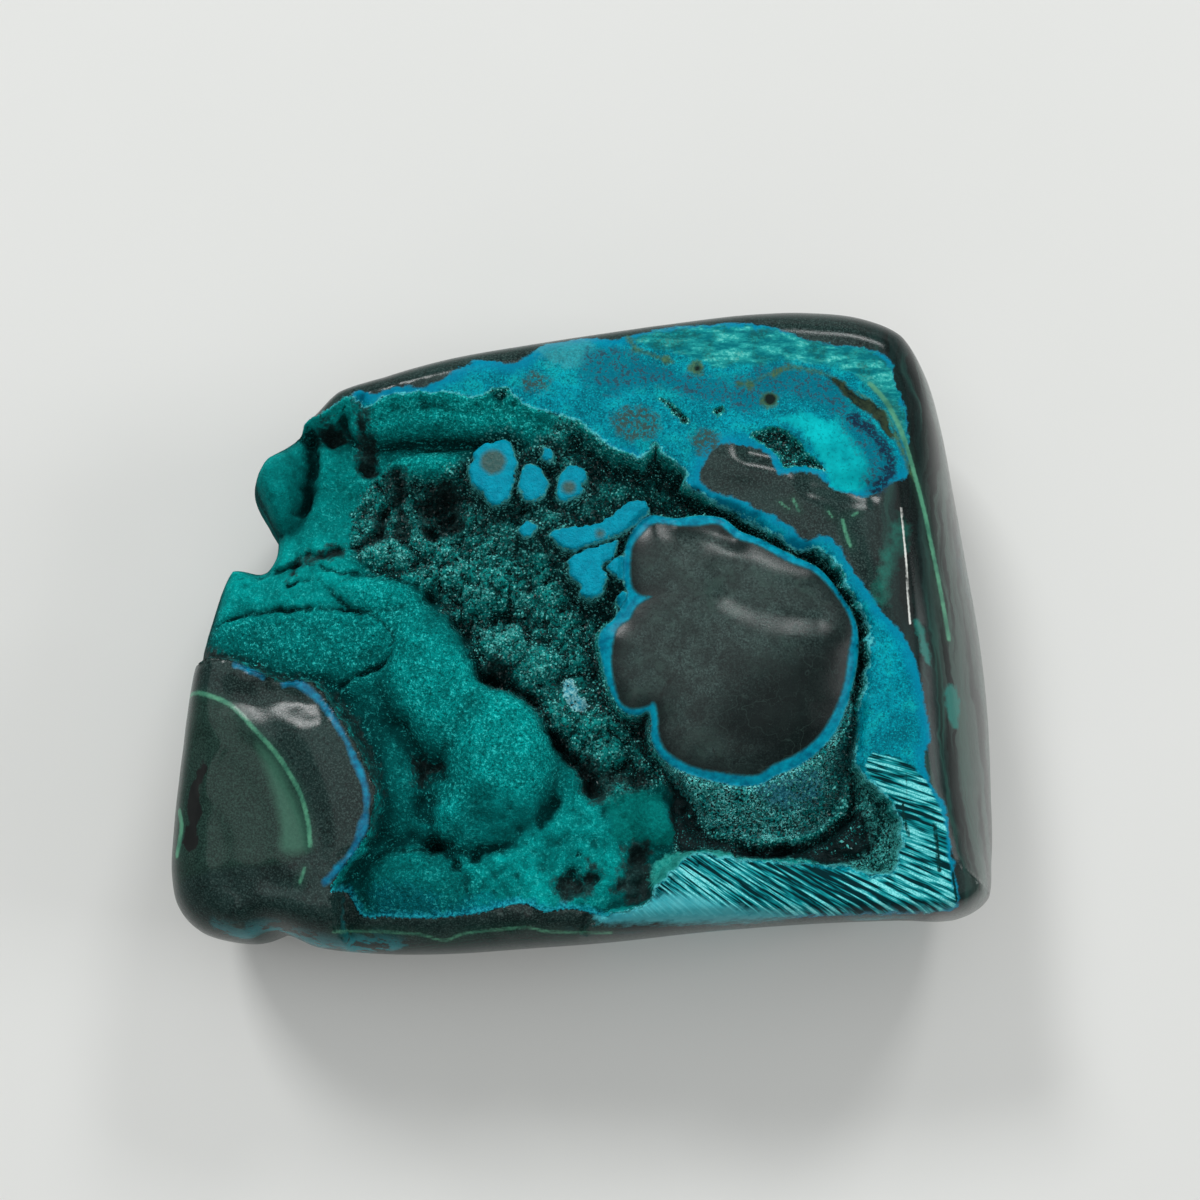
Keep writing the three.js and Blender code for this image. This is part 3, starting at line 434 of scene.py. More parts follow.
# The left nodule's green heart and its pale wedge, and the black patches near it.
GREEN_HEART = [
    (-62, -11), (-55, -10.9), (-50.3, -12.4), (-46.2, -16.1), (-42.1, -20.7), (-39.3, -25.3), (-37.9, -30.6),
    (-38, -33.4), (-42, -35), (-48, -35.4), (-56, -37), (-62, -40),
]
GREEN_WEDGE = [
    (-45.6, -18.4), (-43.6, -19.6), (-40.8, -24.4), (-39.2, -27.8), (-38.2, -31), (-38, -33), (-41.6, -33),
    (-42, -29.6), (-43, -25.6), (-44.4, -21.6),
]
BLACK_PATCH = [
    (-53.1, -20.8), (-52.8, -22.5), (-53.9, -24.6), (-53.2, -26.7), (-53.3, -28.1), (-54.2, -30.2),
    (-53.8, -32.2), (-55.2, -33.4), (-56.4, -31.6), (-55.4, -29), (-55.6, -26), (-54.6, -22.8),
]
DARK_CORNER = [(-54.8, 5.6), (-53.4, 9.4), (-50.6, 9.2), (-49.6, 6.4), (-52, 4.8)]
# Teal chips and a green flame near the right-hand edge.
TEAL_CHIPS = [
    [(51.6, -10), (52.8, -9.7), (53.7, -11.4), (53.7, -14), (52.9, -15.8), (51.7, -14.6)],
    [(46.8, -0.9), (47.3, -0.8), (48.5, -3.5), (49, -7.1), (48.2, -6.4), (47.5, -3.6)],
]
GREEN_FLAME = [
    (41.6, 3), (42.6, 7), (43.8, 10.6), (45.2, 13.6), (45.8, 13), (45.4, 9.6), (44, 7.4), (43, 4.2),
    (42.4, 1.6),
]
# Veins: a line and its half width.
BLUE_VEINS = [
    ([(-49, -7.3), (-46.6, -8.2), (-45, -9)], 0.3),
    ([(-42, -9.9), (-40.5, -9.8), (-38.6, -10.8), (-36.6, -12.6), (-34.9, -15), (-33.1, -17.8),
      (-31.9, -20.2), (-30.7, -23), (-30, -25.6), (-30.1, -28.3), (-30.8, -30.9), (-32.2, -33.6),
      (-33.8, -35.6), (-35.6, -37.4)], 0.45),
]
OLIVE_VEINS = [
    ([(6.5, 41), (7.6, 38.8), (9.5, 38.2), (11.1, 37.4), (12.8, 37)], 0.22),
    ([(22.4, 33.4), (24.5, 34), (27.2, 35.2), (30, 36.2), (33, 35.9), (35.6, 35.1), (38, 33.6)], 0.25),
    ([(39.7, 32.6), (42.2, 30.8), (43.6, 29.5), (44.8, 27.2), (45.6, 24.7), (46.8, 21.8), (48.3, 19)], 0.25),
]
# Round spots: centre and half width.
OLIVE_EYES = [
    ((16.4, 35.9), 1.15), ((12, 37.2), 0.75), ((24, 33.6), 0.8), ((27.6, 35.1), 0.6), ((26.8, 31.2), 1.25),
]
DARK_EYES = [((16.5, 35.9), 0.45), ((26.9, 31.3), 0.85)]
GREY_EYES = [((-12.9, 21.8), 1.8), ((-2, 17.9), 1.0), ((2.4, 11.2), 0.6)]
# More lines and their half widths. The first pale green one runs round the left nodule.
PALE_GREEN_VEINS = [
    ([(-60, -10.6), (-55, -10.9), (-52.9, -11.4), (-50.3, -12.4), (-48.2, -14), (-46.2, -16.1),
      (-44.1, -18.3), (-42.1, -20.7), (-40.9, -22.5), (-39.3, -25.3), (-38.4, -28), (-37.9, -30.6),
      (-37.8, -32.5)], 0.3),
    ([(41.6, 34), (43.8, 31.4), (45.6, 27.6), (47.4, 22), (49, 16), (50.2, 10), (51.4, 3.4),
      (52.4, -3)], 0.35),
    ([(-35, -44.3), (-30.4, -44.2), (-22.6, -44.7), (-19.6, -45.5), (-17.1, -44.6), (-11.1, -43.9),
      (-7.5, -43.7), (-5.2, -44.2), (4, -44.4)], 0.16),
    ([(28, 15.8), (29.2, 14.8)], 0.14), ([(29.8, 16.2), (30.6, 14.6)], 0.18),
    ([(34.8, 14.6), (35.4, 13.8)], 0.14), ([(36.9, 13.4), (37.4, 11.2), (37.9, 9.7)], 0.25),
    ([(38.4, 14.2), (39.2, 14.6)], 0.14), ([(-38.5, -35.6), (-39.2, -37.6)], 0.2),
    ([(-57.4, -27.4), (-56.8, -29.6), (-57.6, -33.6)], 0.4),
]
DARK_LINES = [
    ([(44.6, -26.8), (44.8, -29), (45.4, -31)], 0.22), ([(49, -29.6), (49.3, -32.4), (49.6, -35.8)], 0.26),
    ([(45.3, -20.6), (45.1, -24), (45, -26.6)], 0.08), ([(51.4, -36), (51.8, -38.6), (52, -40)], 0.2),
]
INDIGO_CRESCENT = ([(39.2, 28.8), (41.6, 26.6), (43.2, 24.4), (44, 22), (43.6, 19.8), (42.2, 18.4)], 0.9)
# The ridge line along the right-hand edge of the top: x and y, from front to back.
RIDGE_LINE = [
    [52.4, 51.7, 50.9, 49.6, 48.3, 47.7, 47.4, 47.4, 48.6, 48.4, 47.1],
    [-40.6, -34.3, -26, -17.6, -6.3, 2.3, 11.1, 18.5, 24.6, 30.7, 36.1],
]
# A white line painted along the polished ridge: a painted highlight.
POLISH_GLINT = ([(45.4, 15.4), (45.8, 9), (46, 3), (46.2, -1.4)], 0.14)


# ---- Numbers over many points at once ----
def smooth_step(low, high, value):
    t = np.clip((value - low) / (high - low), 0, 1)
    return t * t * (3 - 2 * t)


def mix(a, b, t):
    return a + (b - a) * t


def smooth_min(a, b, blend):
    """The smaller of two, with the step between them rounded over a difference of blend."""
    share = np.clip(0.5 + 0.5 * (b - a) / blend, 0, 1)
    return mix(b, a, share) - blend * share * (1 - share)


def closed_curve(points, steps=OUTLINE_STEPS):
    """Corners of a smooth closed curve through the points; further columns are carried along."""
    points = np.asarray(points, float)
    here = points[:, :2]
    before, after, beyond = (np.roll(here, shift, axis=0) for shift in (1, -1, -2))
    gap = np.sqrt(np.linalg.norm(after - here, axis=1))[:, None]
    gap_before, gap_after = np.roll(gap, 1, axis=0), np.roll(gap, -1, axis=0)
    leave = (here - before) / gap_before - (after - before) / (gap_before + gap) + (after - here) / gap
    arrive = (after - here) / gap - (beyond - here) / (gap + gap_after) + (beyond - after) / gap_after
    leave, arrive = (leave * gap)[:, None], (arrive * gap)[:, None]
    start, end = here[:, None], after[:, None]
    t = (np.arange(steps) / steps)[None, :, None]
    place = start + leave * t + (3 * (end - start) - 2 * leave - arrive) * t**2
    place = place + (2 * (start - end) + leave + arrive) * t**3
    extra = mix(points[:, None, 2:], np.roll(points, -1, axis=0)[:, None, 2:], t)
    return np.concatenate([place, extra], axis=2).reshape(-1, points.shape[1])


def open_curve(points, steps=LINE_STEPS):
    """Corners of a smooth line through the points."""
    return closed_curve([*points, *points[-2:0:-1]], steps)[:(len(points) - 1) * steps + 1]


def to_segments(x, y, starts, ends):
    """Distance from each point to each straight piece, and how far along the piece the nearest spot lies."""
    step = ends - starts
    from_x, from_y = x[:, None] - starts[:, 0], y[:, None] - starts[:, 1]
    along = np.clip((from_x * step[:, 0] + from_y * step[:, 1]) / (step**2).sum(axis=1), 0, 1)
    return np.hypot(from_x - step[:, 0] * along, from_y - step[:, 1] * along), along


def near_chunks(x, y, corners, reach):
    """Numbers of the points within reach of the corners' bounding box, a chunk at a time."""
    low, high = corners.min(axis=0) - reach, corners.max(axis=0) + reach
    near = np.flatnonzero((x > low[0]) & (x < high[0]) & (y > low[1]) & (y < high[1]))
    for start in range(0, len(near), CHUNK):
        yield near[start:start + CHUNK]


def depth_inside(x, y, outline, reach=6.0):
    """Distance to the smooth outline through the points, positive inside, never less than -reach."""
    corners = closed_curve(outline)[:, :2]
    ends = np.roll(corners, -1, axis=0)
    rise = np.where(ends[:, 1] == corners[:, 1], 1, ends[:, 1] - corners[:, 1])
    result = np.full(x.shape, -float(reach))
    for some in near_chunks(x, y, corners, reach):
        px, py = x[some], y[some]
        distance = to_segments(px, py, corners, ends)[0].min(axis=1)
        straddles = (corners[:, 1] > py[:, None]) != (ends[:, 1] > py[:, None])
        crossing = corners[:, 0] + (ends[:, 0] - corners[:, 0]) * (py[:, None] - corners[:, 1]) / rise
        inside = (straddles & (px[:, None] < crossing)).sum(axis=1) % 2 == 1
        result[some] = np.maximum(np.where(inside, distance, -distance), -reach)
    return result


def distance_to_line(x, y, line, reach=6.0):
    """Distance to a line of straight pieces, never more than reach."""
    line = np.asarray(line, float)
    result = np.full(x.shape, float(reach))
    for some in near_chunks(x, y, line, reach):
        result[some] = np.minimum(to_segments(x[some], y[some], line[:-1], line[1:])[0].min(axis=1), reach)
    return result


def inside_any(x, y, outlines, reach=4.0):
    return np.max([depth_inside(x, y, outline, reach) for outline in outlines], axis=0)


def inside_veins(x, y, lines):
    return np.max([half - distance_to_line(x, y, open_curve(line)) for line, half in lines], axis=0)


def inside_eyes(x, y, spots):
    return np.max([half - np.hypot(x - cx, y - cy) for (cx, cy), half in spots], axis=0)


def lattice_value(i, j, seed):
    """A repeatable number from -1 to 1 for each whole-number cell."""
    n = (i * 374761393 + j * 668265263 + seed * 2246822519) & 0xFFFFFFFF
    n = ((n ^ (n >> 13)) * 1274126177) & 0xFFFFFFFF
    return ((n ^ (n >> 16)) & 0xFFFFFF) / 0x7FFFFF - 1


def noise(x, y, size, seed):
    """Smooth noise from -1 to 1, with features about size across. The seed tells one noise from another."""
    u, v = x / size + 1000.5, y / size + 1000.5
    i, j = np.floor(u).astype(np.int64), np.floor(v).astype(np.int64)
    s, t = u - i, v - j
    s, t = s * s * s * (s * (s * 6 - 15) + 10), t * t * t * (t * (t * 6 - 15) + 10)
    low = mix(lattice_value(i, j, seed), lattice_value(i + 1, j, seed), s)
    high = mix(lattice_value(i, j + 1, seed), lattice_value(i + 1, j + 1, seed), s)
    return mix(low, high, t)


OCTAVE_FADE = 0.55    # strength of each octave against the one before


def fractal(x, y, size, seed, octaves=4):
    """Noise with finer and fainter noise laid over it, each octave half as wide as the one before."""
    total = np.zeros_like(x)
    strength = 1.0
    for k in range(octaves):
        total += strength * noise(x + 17.3 * k, y - 9.1 * k, size / 2**k, seed + k)
        strength *= OCTAVE_FADE
    return total


def cells(x, y, size, seed):
    """Distance to the nearest of a scatter of points about size apart, and the gap to the next nearest."""
    u, v = x / size + 1000, y / size + 1000
    i, j = np.floor(u).astype(np.int64), np.floor(v).astype(np.int64)
    found = []
    for di in (-1, 0, 1):
        for dj in (-1, 0, 1):
            px = i + di + 0.5 + 0.45 * lattice_value(i + di, j + dj, seed)
            py = j + dj + 0.5 + 0.45 * lattice_value(i + di, j + dj, seed + 50)
            found.append(np.hypot(u - px, v - py))
    found = np.sort(np.array(found), axis=0)
    return found[0], found[1] - found[0]


# ---- The stone's shape ----
girth = closed_curve(GIRTH_POINTS)
girth_next = np.roll(girth, -1, axis=0)
girth_normal = np.stack([
    np.roll(girth[:, 1], -1) - np.roll(girth[:, 1], 1),
    np.roll(girth[:, 0], 1) - np.roll(girth[:, 0], -1),
], axis=1)
girth_normal /= np.linalg.norm(girth_normal, axis=1)[:, None]


def nearest_edge(x, y):
    """Distance to the girth, and the width and exponent of the round-over there."""
    result = np.zeros((3, len(x)))
    for start in range(0, len(x), CHUNK):
        some = slice(start, start + CHUNK)
        distance, along = to_segments(x[some], y[some], girth[:, :2], girth_next[:, :2])
        best = distance.argmin(axis=1)
        rows = np.arange(len(best))
        share = along[rows, best]
        result[0, some] = distance[rows, best]
        result[1, some] = mix(girth[best, 2], girth_next[best, 2], share)
        result[2, some] = mix(girth[best, 3], girth_next[best, 3], share)
    return result


def round_over(inset, width, power):
    outward = np.clip(1 - inset / width, 0, 1)
    return (1 - outward**power) ** (1 / power)


def oval_reach(x, y, at, half, turn):
    """Square of the distance from an oval's centre, 1 on its edge."""
    angle = math.radians(turn)
    dx, dy = x - at[0], y - at[1]
    across = (dx * math.cos(angle) + dy * math.sin(angle)) / half[0]
    along = (dy * math.cos(angle) - dx * math.sin(angle)) / half[1]
    return across**2 + along**2


def floor_depth(x, y):
    total, weights = np.zeros_like(x), np.zeros_like(x)
    for px, py, depth in FLOOR_DEPTHS:
        weight = 1 / (1 + ((x - px)**2 + (y - py)**2) / FLOOR_REACH**2)**3
        total += depth * weight
        weights += weight
    return total / weights


def frayed(x, y):
    """Places shifted a little by noise, so that outlines measured there come out frayed."""
    shift_x, shift_y = (FRAY * fractal(x, y, FRAY_GRAIN, seed, octaves=3) for seed in (SEED, SEED + 5))
    return x + shift_x, y + shift_y


# Where the crust is velvety and smooth; elsewhere it is knobbly druse.
VELVET = [
    (-24.5, 6), (-20, 1.6), (-16, -4.6), (-14.4, -9), (-9, -11), (-5, -15.6), (-1, -22), (3, -25.4),
    (12.6, -24), (13, -34), (10, -44), (-12, -50), (-60, -50), (-60, 33), (-46, 33), (-40, 32), (-20, 33),
    (-4, 29), (-6, 25.4), (-16.8, 23.4), (-23, 21), (-29, 22), (-33, 18), (-34, 12), (-30, 6.8),
]


class Relief:
    """The depth of the top below the polished cap, and the distances that the relief and the looks share."""

    def __init__(self, x, y):
        self.x, self.y = x, y
        self.frayed = frayed(x, y)
        self.hollow = depth_inside(*self.frayed, HOLLOW)
        self.nodule = depth_inside(x, y, NODULE, 12)
        self.rim = depth_inside(x, y, NODULE_RIM, 12)
        self.islet = inside_any(*self.frayed, ISLETS)
        self.pockets = inside_any(*self.frayed, DRUSE_POCKETS)
        self.skirt = depth_inside(x, y, SKIRT)
        self.velvet = depth_inside(*self.frayed, VELVET)
        self.black = inside_any(*self.frayed, BLACK_CRUST)
        self.depth = self.whole_depth()

    def crust_grain(self):
        """Fine relief of the crust: knobs with creases between them, or the faint waves of the velvet."""
        x, y = self.x, self.y
        bent_x, bent_y = x + 1.2 * noise(x, y, 2.6, seed=31), y + 1.2 * noise(x, y, 2.6, seed=32)
        nearest, gap = cells(bent_x, bent_y, KNOB_SIZE, seed=11)
        small_nearest, small_gap = cells(bent_x, bent_y, SMALL_KNOB_SIZE, seed=12)
        crease = CREASE_DEPTH * smooth_step(-0.3, 0.5, noise(x, y, 4, seed=33))
        knobs = 2.2 * nearest**2 + 0.5 * small_nearest + crease * np.exp(-small_gap / CREASE_WIDTH)
        knobs += crease * np.exp(-gap / CREASE_WIDTH) + 0.55 * fractal(x, y, 1.8, seed=21) - 0.8
        folds = 0.35 * fractal(x, y, 4.5, seed=41, octaves=3) + 0.12 * fractal(x, y, 1.2, seed=45, octaves=3)
        folds += 0.06 * small_nearest
        sand = 0.3 * sandy(x, y) * fractal(x, y, 2.2, seed=47)
        return mix(knobs, folds + sand, smooth_step(-0.8, 0.8, self.velvet))

    @staticmethod
    def mound(reach, crown, foot):
        """Depth over a round-topped mound: crown at its middle, foot at its edge, more beyond."""
        inside = np.sqrt(np.maximum(1 - reach**2, 0))
        return mix(foot, crown, inside) + MOUND_FALL * np.maximum(reach - 1, 0)

    def rough_depth(self):
        x, y = self.x, self.y
        depth = floor_depth(x, y)
        for at, half, turn, crown, foot in LUMPS:
            reach = np.sqrt(oval_reach(x, y, at, half, turn))
            depth = smooth_min(depth, self.mound(reach, crown, foot), LUMP_BLEND)
        for line, half, crown, foot in RIDGES:
            reach = distance_to_line(x, y, open_curve(line)) / half
            depth = smooth_min(depth, self.mound(reach, crown, foot), LUMP_BLEND)
        depth = depth + self.crust_grain()
        depth += smooth_step(-0.2, 1.2, self.black) * (0.5 + 0.5 * fractal(x, y, 1.1, seed=71, octaves=3))
        return mix(depth, ISLET_DEPTH, smooth_step(-0.7, 0.1, self.islet))

    def skirt_depth(self):
        slope = np.clip(SKIRT_TOP_DEPTH - SKIRT_SLOPE * self.rim, 0, SKIRT_LOW_DEPTH)
        return slope + 0.3 * fractal(self.x, self.y, 1.6, seed=61)

    def whole_depth(self):
        x, y = self.x, self.y
        wall = mix(WALL_WIDTH, BACK_WALL_WIDTH, smooth_step(20, 25, y))
        depth = self.rough_depth() * smooth_step(0, wall, self.hollow)
        depth += EDGE_DROP * np.exp(np.minimum(self.hollow, 0) / EDGE_ROUNDING) * (self.hollow < 0)
        depth = mix(depth, self.skirt_depth(), smooth_step(0, 0.9, self.skirt))
        open_share = mix(CLOSED_CRACK, OPEN_CRACK, smooth_step(-0.5, 0.4, noise(x, y, 3.2, seed=91)))
        for line, half, extra in CRACKS:
            distance = distance_to_line(*self.frayed, open_curve(line))
            depth += extra * open_share * np.exp(-(distance / half)**2)
        for at, half, extra in PITS:
            reach = np.hypot(self.frayed[0] - at[0], self.frayed[1] - at[1]) / half
            depth += extra * np.exp(-reach**4)
        pocket = POCKET_DEPTH + 0.5 * fractal(x, y, 1.2, seed=81, octaves=3)
        depth += pocket * smooth_step(0, 0.8, self.pockets)
        top = -NODULE_RISE + NODULE_SAG * np.exp(-np.maximum(self.rim, 0) / NODULE_SHOULDER)
        top += 0.14 * fractal(x, y, 7, seed=95, octaves=2)
        depth = mix(depth, top, smooth_step(-WALL_WIDTH, 0, self.rim))
        for at, half, turn, height in SWELLS:
            depth -= height * np.exp(-oval_reach(x, y, at, half, turn))
        rings = distance_to_line(x, y, open_curve(PALE_GREEN_VEINS[0][0]), 30)
        polished = smooth_step(0, -2, self.hollow) * smooth_step(-30, -34, x)
        depth += RING_WAVE * polished * np.sin(rings * 2 * np.pi / RING_SPACING)
        for line, half, height in WAVES:
            depth -= height * np.exp(-(distance_to_line(x, y, open_curve(line)) / half)**2)
        return depth


def top_height(relief):
    distance, width, power = nearest_edge(relief.x, relief.y)
    cap = TOP_HEIGHT - TOP_FALL_X * relief.x**2 - TOP_FALL_Y * relief.y**2
    return GIRTH_HEIGHT + (cap - relief.depth - GIRTH_HEIGHT) * round_over(distance, width, power)


def perimeter_places():
    """Places along the girth, evenly spaced on each of the top grid's four edges."""
    corners = [GIRTH_POINTS.index(point) * OUTLINE_STEPS for point in CORNER_POINTS]
    corners.append(corners[0] + len(girth))
    places = []
    for start, end, count in zip(corners, corners[1:], (COLUMNS, ROWS, COLUMNS, ROWS)):
        spots = girth[np.arange(start, end + 1) % len(girth), :2]
        lengths = np.concatenate([[0], np.cumsum(np.linalg.norm(np.diff(spots, axis=0), axis=1))])
        places.append(np.interp(np.arange(count) / count * lengths[-1], lengths, np.arange(start, end + 1)))
    return np.concatenate(places)


def rim_of_stone():
    """The girth at every perimeter place: x, y, width, exponent, and the outward direction."""
    places = perimeter_places()
    i = np.floor(places).astype(int)
    share = (places - i)[:, None]
    i, j = i % len(girth), (i + 1) % len(girth)
    at = mix(girth[i], girth[j], share)
    normal = mix(girth_normal[i], girth_normal[j], share)
    return at, normal / np.linalg.norm(normal, axis=1)[:, None]


def grid_plan(border):
    """x and y of the top grid: a patch stretched between its four edges, then evened out."""
    front, right = border[:COLUMNS + 1], border[COLUMNS:COLUMNS + ROWS + 1]
    back = border[COLUMNS + ROWS:2 * COLUMNS + ROWS + 1][::-1]
    left = np.concatenate([border[2 * COLUMNS + ROWS:], border[:1]])[::-1]
    u = (np.arange(COLUMNS + 1) / COLUMNS)[None, :, None]
    v = (np.arange(ROWS + 1) / ROWS)[:, None, None]
    plan = mix(left[:, None], right[:, None], u) + mix(front[None], back[None], v)
    plan -= mix(mix(front[0], front[-1], u), mix(back[0], back[-1], u), v)
    for _ in range(RELAX_PASSES):
        plan[1:-1, 1:-1] = (plan[:-2, 1:-1] + plan[2:, 1:-1] + plan[1:-1, :-2] + plan[1:-1, 2:]) / 4
    return plan


def snap(plan, field, level):
    """Moves inner grid points close to where the field has this level onto it, so that walls run true."""
    inner = np.zeros(plan.shape[:2], bool)
    inner[1:-1, 1:-1] = True
    x, y = plan[..., 0], plan[..., 1]
    here = (field(x.ravel(), y.ravel()) - level).reshape(x.shape)
    near = inner & (np.abs(here) < SNAP_REACH)
    at_x, at_y, value = x[near], y[near], here[near]
    slope_x = (field(at_x + SNAP_PROBE, at_y) - level - value) / SNAP_PROBE
    slope_y = (field(at_x, at_y + SNAP_PROBE) - level - value) / SNAP_PROBE
    steepness = np.maximum(slope_x**2 + slope_y**2, 0.5)
    plan[near] -= np.stack([value * slope_x / steepness, value * slope_y / steepness], axis=1)


def snap_to_walls(plan):
    def hollow(x, y):
        return depth_inside(*frayed(x, y), HOLLOW)

    def rim(x, y):
        return depth_inside(x, y, NODULE_RIM)

    for field, level in ((hollow, WALL_WIDTH), (hollow, 0), (rim, -WALL_WIDTH), (rim, 0)):
        snap(plan, field, level)


def border_indices():
    """Top grid vertices along its border, in the order of the perimeter places."""
    index = np.arange((ROWS + 1) * (COLUMNS + 1)).reshape(ROWS + 1, COLUMNS + 1)
    return np.concatenate([index[0, :-1], index[:-1, -1], index[-1, :0:-1], index[:0:-1, 0]])


def base_reach(at):
    """How far out the base reaches behind each place on the rim, as a share of the way to it."""
    angle = np.arctan2(at[:, 1], at[:, 0])
    turn = np.arctan2(girth[:, 1], girth[:, 0]) - angle[:, None]
    step = np.linalg.norm(girth_next[:, :2] - girth[:, :2], axis=1)
    weight = step * np.maximum(0, np.cos(turn) - math.cos(BASE_SMOOTHING))
    mean = (weight * np.hypot(girth[:, 0], girth[:, 1])).sum(axis=1) / weight.sum(axis=1)
    return BASE_SCALE * mean / np.hypot(at[:, 0], at[:, 1])


def blurred(height, passes):
    for _ in range(passes):
        padded = np.pad(height, 1, mode="edge")
        height = (padded[:-2, 1:-1] + padded[2:, 1:-1] + padded[1:-1, :-2] + padded[1:-1, 2:] + height) / 5
    return height


class Stone:
    """Vertices, faces and relief of the whole stone."""

    def __init__(self):
        at, normal = rim_of_stone()
        plan = grid_plan(at[:, :2] - normal * at[:, 2:3] * RIM_FRACTION)
        snap_to_walls(plan)
        x, y = plan[..., 0].ravel(), plan[..., 1].ravel()
        self.top = Relief(x, y)
        height = top_height(self.top)
        level = height.reshape(plan.shape[:2])
        # Heights against their blurred selves; the crust's painted light on the crowns and painted shade in
        # the creases are laid from these.
        self.crown = (level - blurred(level, CROWN_PASSES)).ravel()
        self.swell = (level - blurred(level, SWELL_PASSES)).ravel()
        self.crease = (level - blurred(level, CREASE_PASSES)).ravel()
        self.rings = [np.stack([x, y, height], axis=1)]
        self.faces = []
        self.shape = plan.shape[:2]
        index = np.arange(len(x)).reshape(self.shape)
        self.add_quads(index[:-1, :-1], index[:-1, 1:], index[1:, 1:], index[1:, :-1])
        self.ring = border_indices()
        self.count = len(x)
        self.down_sides(at, normal, height[self.ring])
        self.close_base()

    def add_quads(self, *corners):
        self.faces.append(np.stack([c.ravel() for c in corners], axis=1))

    def add_ring(self, x, y, z):
        self.rings.append(np.stack([x, y, np.broadcast_to(z, x.shape)], axis=1))
        new = np.arange(self.count, self.count + len(x))
        self.count += len(x)
        self.add_quads(self.ring, new, np.roll(new, -1), np.roll(self.ring, -1))
        self.ring = new

    def down_sides(self, at, normal, rim_height):
        x, y, width, power = at.T
        for k in range(1, RIM_RINGS + 1):
            fraction = RIM_FRACTION * (1 - k / RIM_RINGS)**RIM_RING_CROWDING
            share = round_over(fraction, 1, power) / round_over(RIM_FRACTION, 1, power)
            height = GIRTH_HEIGHT + (rim_height - GIRTH_HEIGHT) * share
            self.add_ring(x - normal[:, 0] * width * fraction, y - normal[:, 1] * width * fraction, height)
        reach = base_reach(at)
        for k in range(1, SIDE_RINGS + 1):
            down = (k / SIDE_RINGS)**SIDE_RING_CROWDING
            scale = mix(1, reach, 1 - (1 - down**BASE_ROUNDNESS)**(1 / BASE_ROUNDNESS))
            self.add_ring(x * scale, y * scale, GIRTH_HEIGHT * (1 - down))
        self.add_ring(x * reach * BASE_MIDDLE, y * reach * BASE_MIDDLE, 0)

    def close_base(self):
        self.rings.append(np.zeros((1, 3)))
        middle = np.full(len(self.ring), self.count)
        self.count += 1
        self.base_fan = np.stack([self.ring, middle, np.roll(self.ring, -1)], axis=1)

    def vertices(self):
        return np.concatenate(self.rings)


def in_frame(vertices):
    """From the outlines' own coordinates to the CAD's frame, in metres."""
    return (vertices - np.array([*FOOTPRINT_MIDDLE, 0])) * INSIDE_CAD * MM


def build_mesh(name, vertices, polygons, smooth=True):
    """A mesh object from vertices in metres and lists of polygons, each list of one corner count."""
    mesh = bpy.data.meshes.new(name)
    corners = np.concatenate([p.ravel() for p in polygons])
    sizes = np.concatenate([np.full(len(p), p.shape[1]) for p in polygons])
    mesh.vertices.add(len(vertices))
    mesh.vertices.foreach_set("co", vertices.ravel())
    mesh.loops.add(len(corners))
    mesh.loops.foreach_set("vertex_index", corners)
    mesh.polygons.add(len(sizes))
    mesh.polygons.foreach_set("loop_start", np.concatenate([[0], np.cumsum(sizes)[:-1]]))
    mesh.polygons.foreach_set("use_smooth", np.full(len(sizes), smooth))
    mesh.update()
    mesh.validate()
    obj = bpy.data.objects.new(name, mesh)
    bpy.context.scene.collection.objects.link(obj)
    return obj


def store(obj, name, values):
    attribute = obj.data.attributes.new(name, "FLOAT", "POINT")
    attribute.data.foreach_set("value", np.asarray(values, np.float32))


CRUST_SIDE = -44       # left of here the crust hangs down the side
CRUST_LOW = 9          # and ends at about this height
SIDE_WANDER = 1.6      # its edges wander by about this much
SHORT_REACH = 4        # how far from a small marking its distance is measured
RING_REACH = 40        # and from the left nodule's green line


def sandy(x, y):
    """Share of the smooth, sandy floor in the front of the hollow."""
    return smooth_step(-24, -27, y) * smooth_step(-18, -12, x)


def marking_distances(vertices, top):
    """Name of each marking and the distance of every vertex inside it, in millimetres."""
    x, y, z = vertices.T
    sides = Relief(x[len(top.x):], y[len(top.x):])

    def both(name):
        return np.concatenate([getattr(top, name), getattr(sides, name)])

    shared = ("nodule", "rim", "islet", "pockets", "skirt", "velvet", "depth")
    marks = {name: both(name) for name in shared}
    marks["wall"], marks["black_crust"] = both("hollow"), both("black")
    marks["band"] = depth_inside(x, y, FRONT_BAND)
    marks["crust"] = crust_reach(x, y, z, marks["wall"], marks["band"])
    frayed_x, frayed_y = (np.concatenate(pair) for pair in zip(top.frayed, sides.frayed))
    return marks | plain_marks(x, y) | frayed_marks(frayed_x, frayed_y)


def crust_reach(x, y, z, wall, band):
    """Distance inside the crust, which stops at the front band but hangs down the left side."""
    wander = SIDE_WANDER * fractal(x + y, z, 8, seed=97) * smooth_step(30, 22, z)
    crust = np.minimum(wall + wander, z - CRUST_LOW + 3 * wander)
    return np.where(x < CRUST_SIDE, crust, np.minimum(crust, -band))


def frayed_marks(x, y):
    """Markings whose outlines fray, measured at shifted places."""
    return {
        "striated": depth_inside(x, y, STRIATED),
        "basin": depth_inside(x, y, BASIN),
        "plaster": depth_inside(x, y, PLASTER, SHORT_REACH),
        "white": depth_inside(x, y, WHITE_CRUST, SHORT_REACH),
        "black": inside_any(x, y, [BLACK_PATCH, DARK_CORNER]),
    }


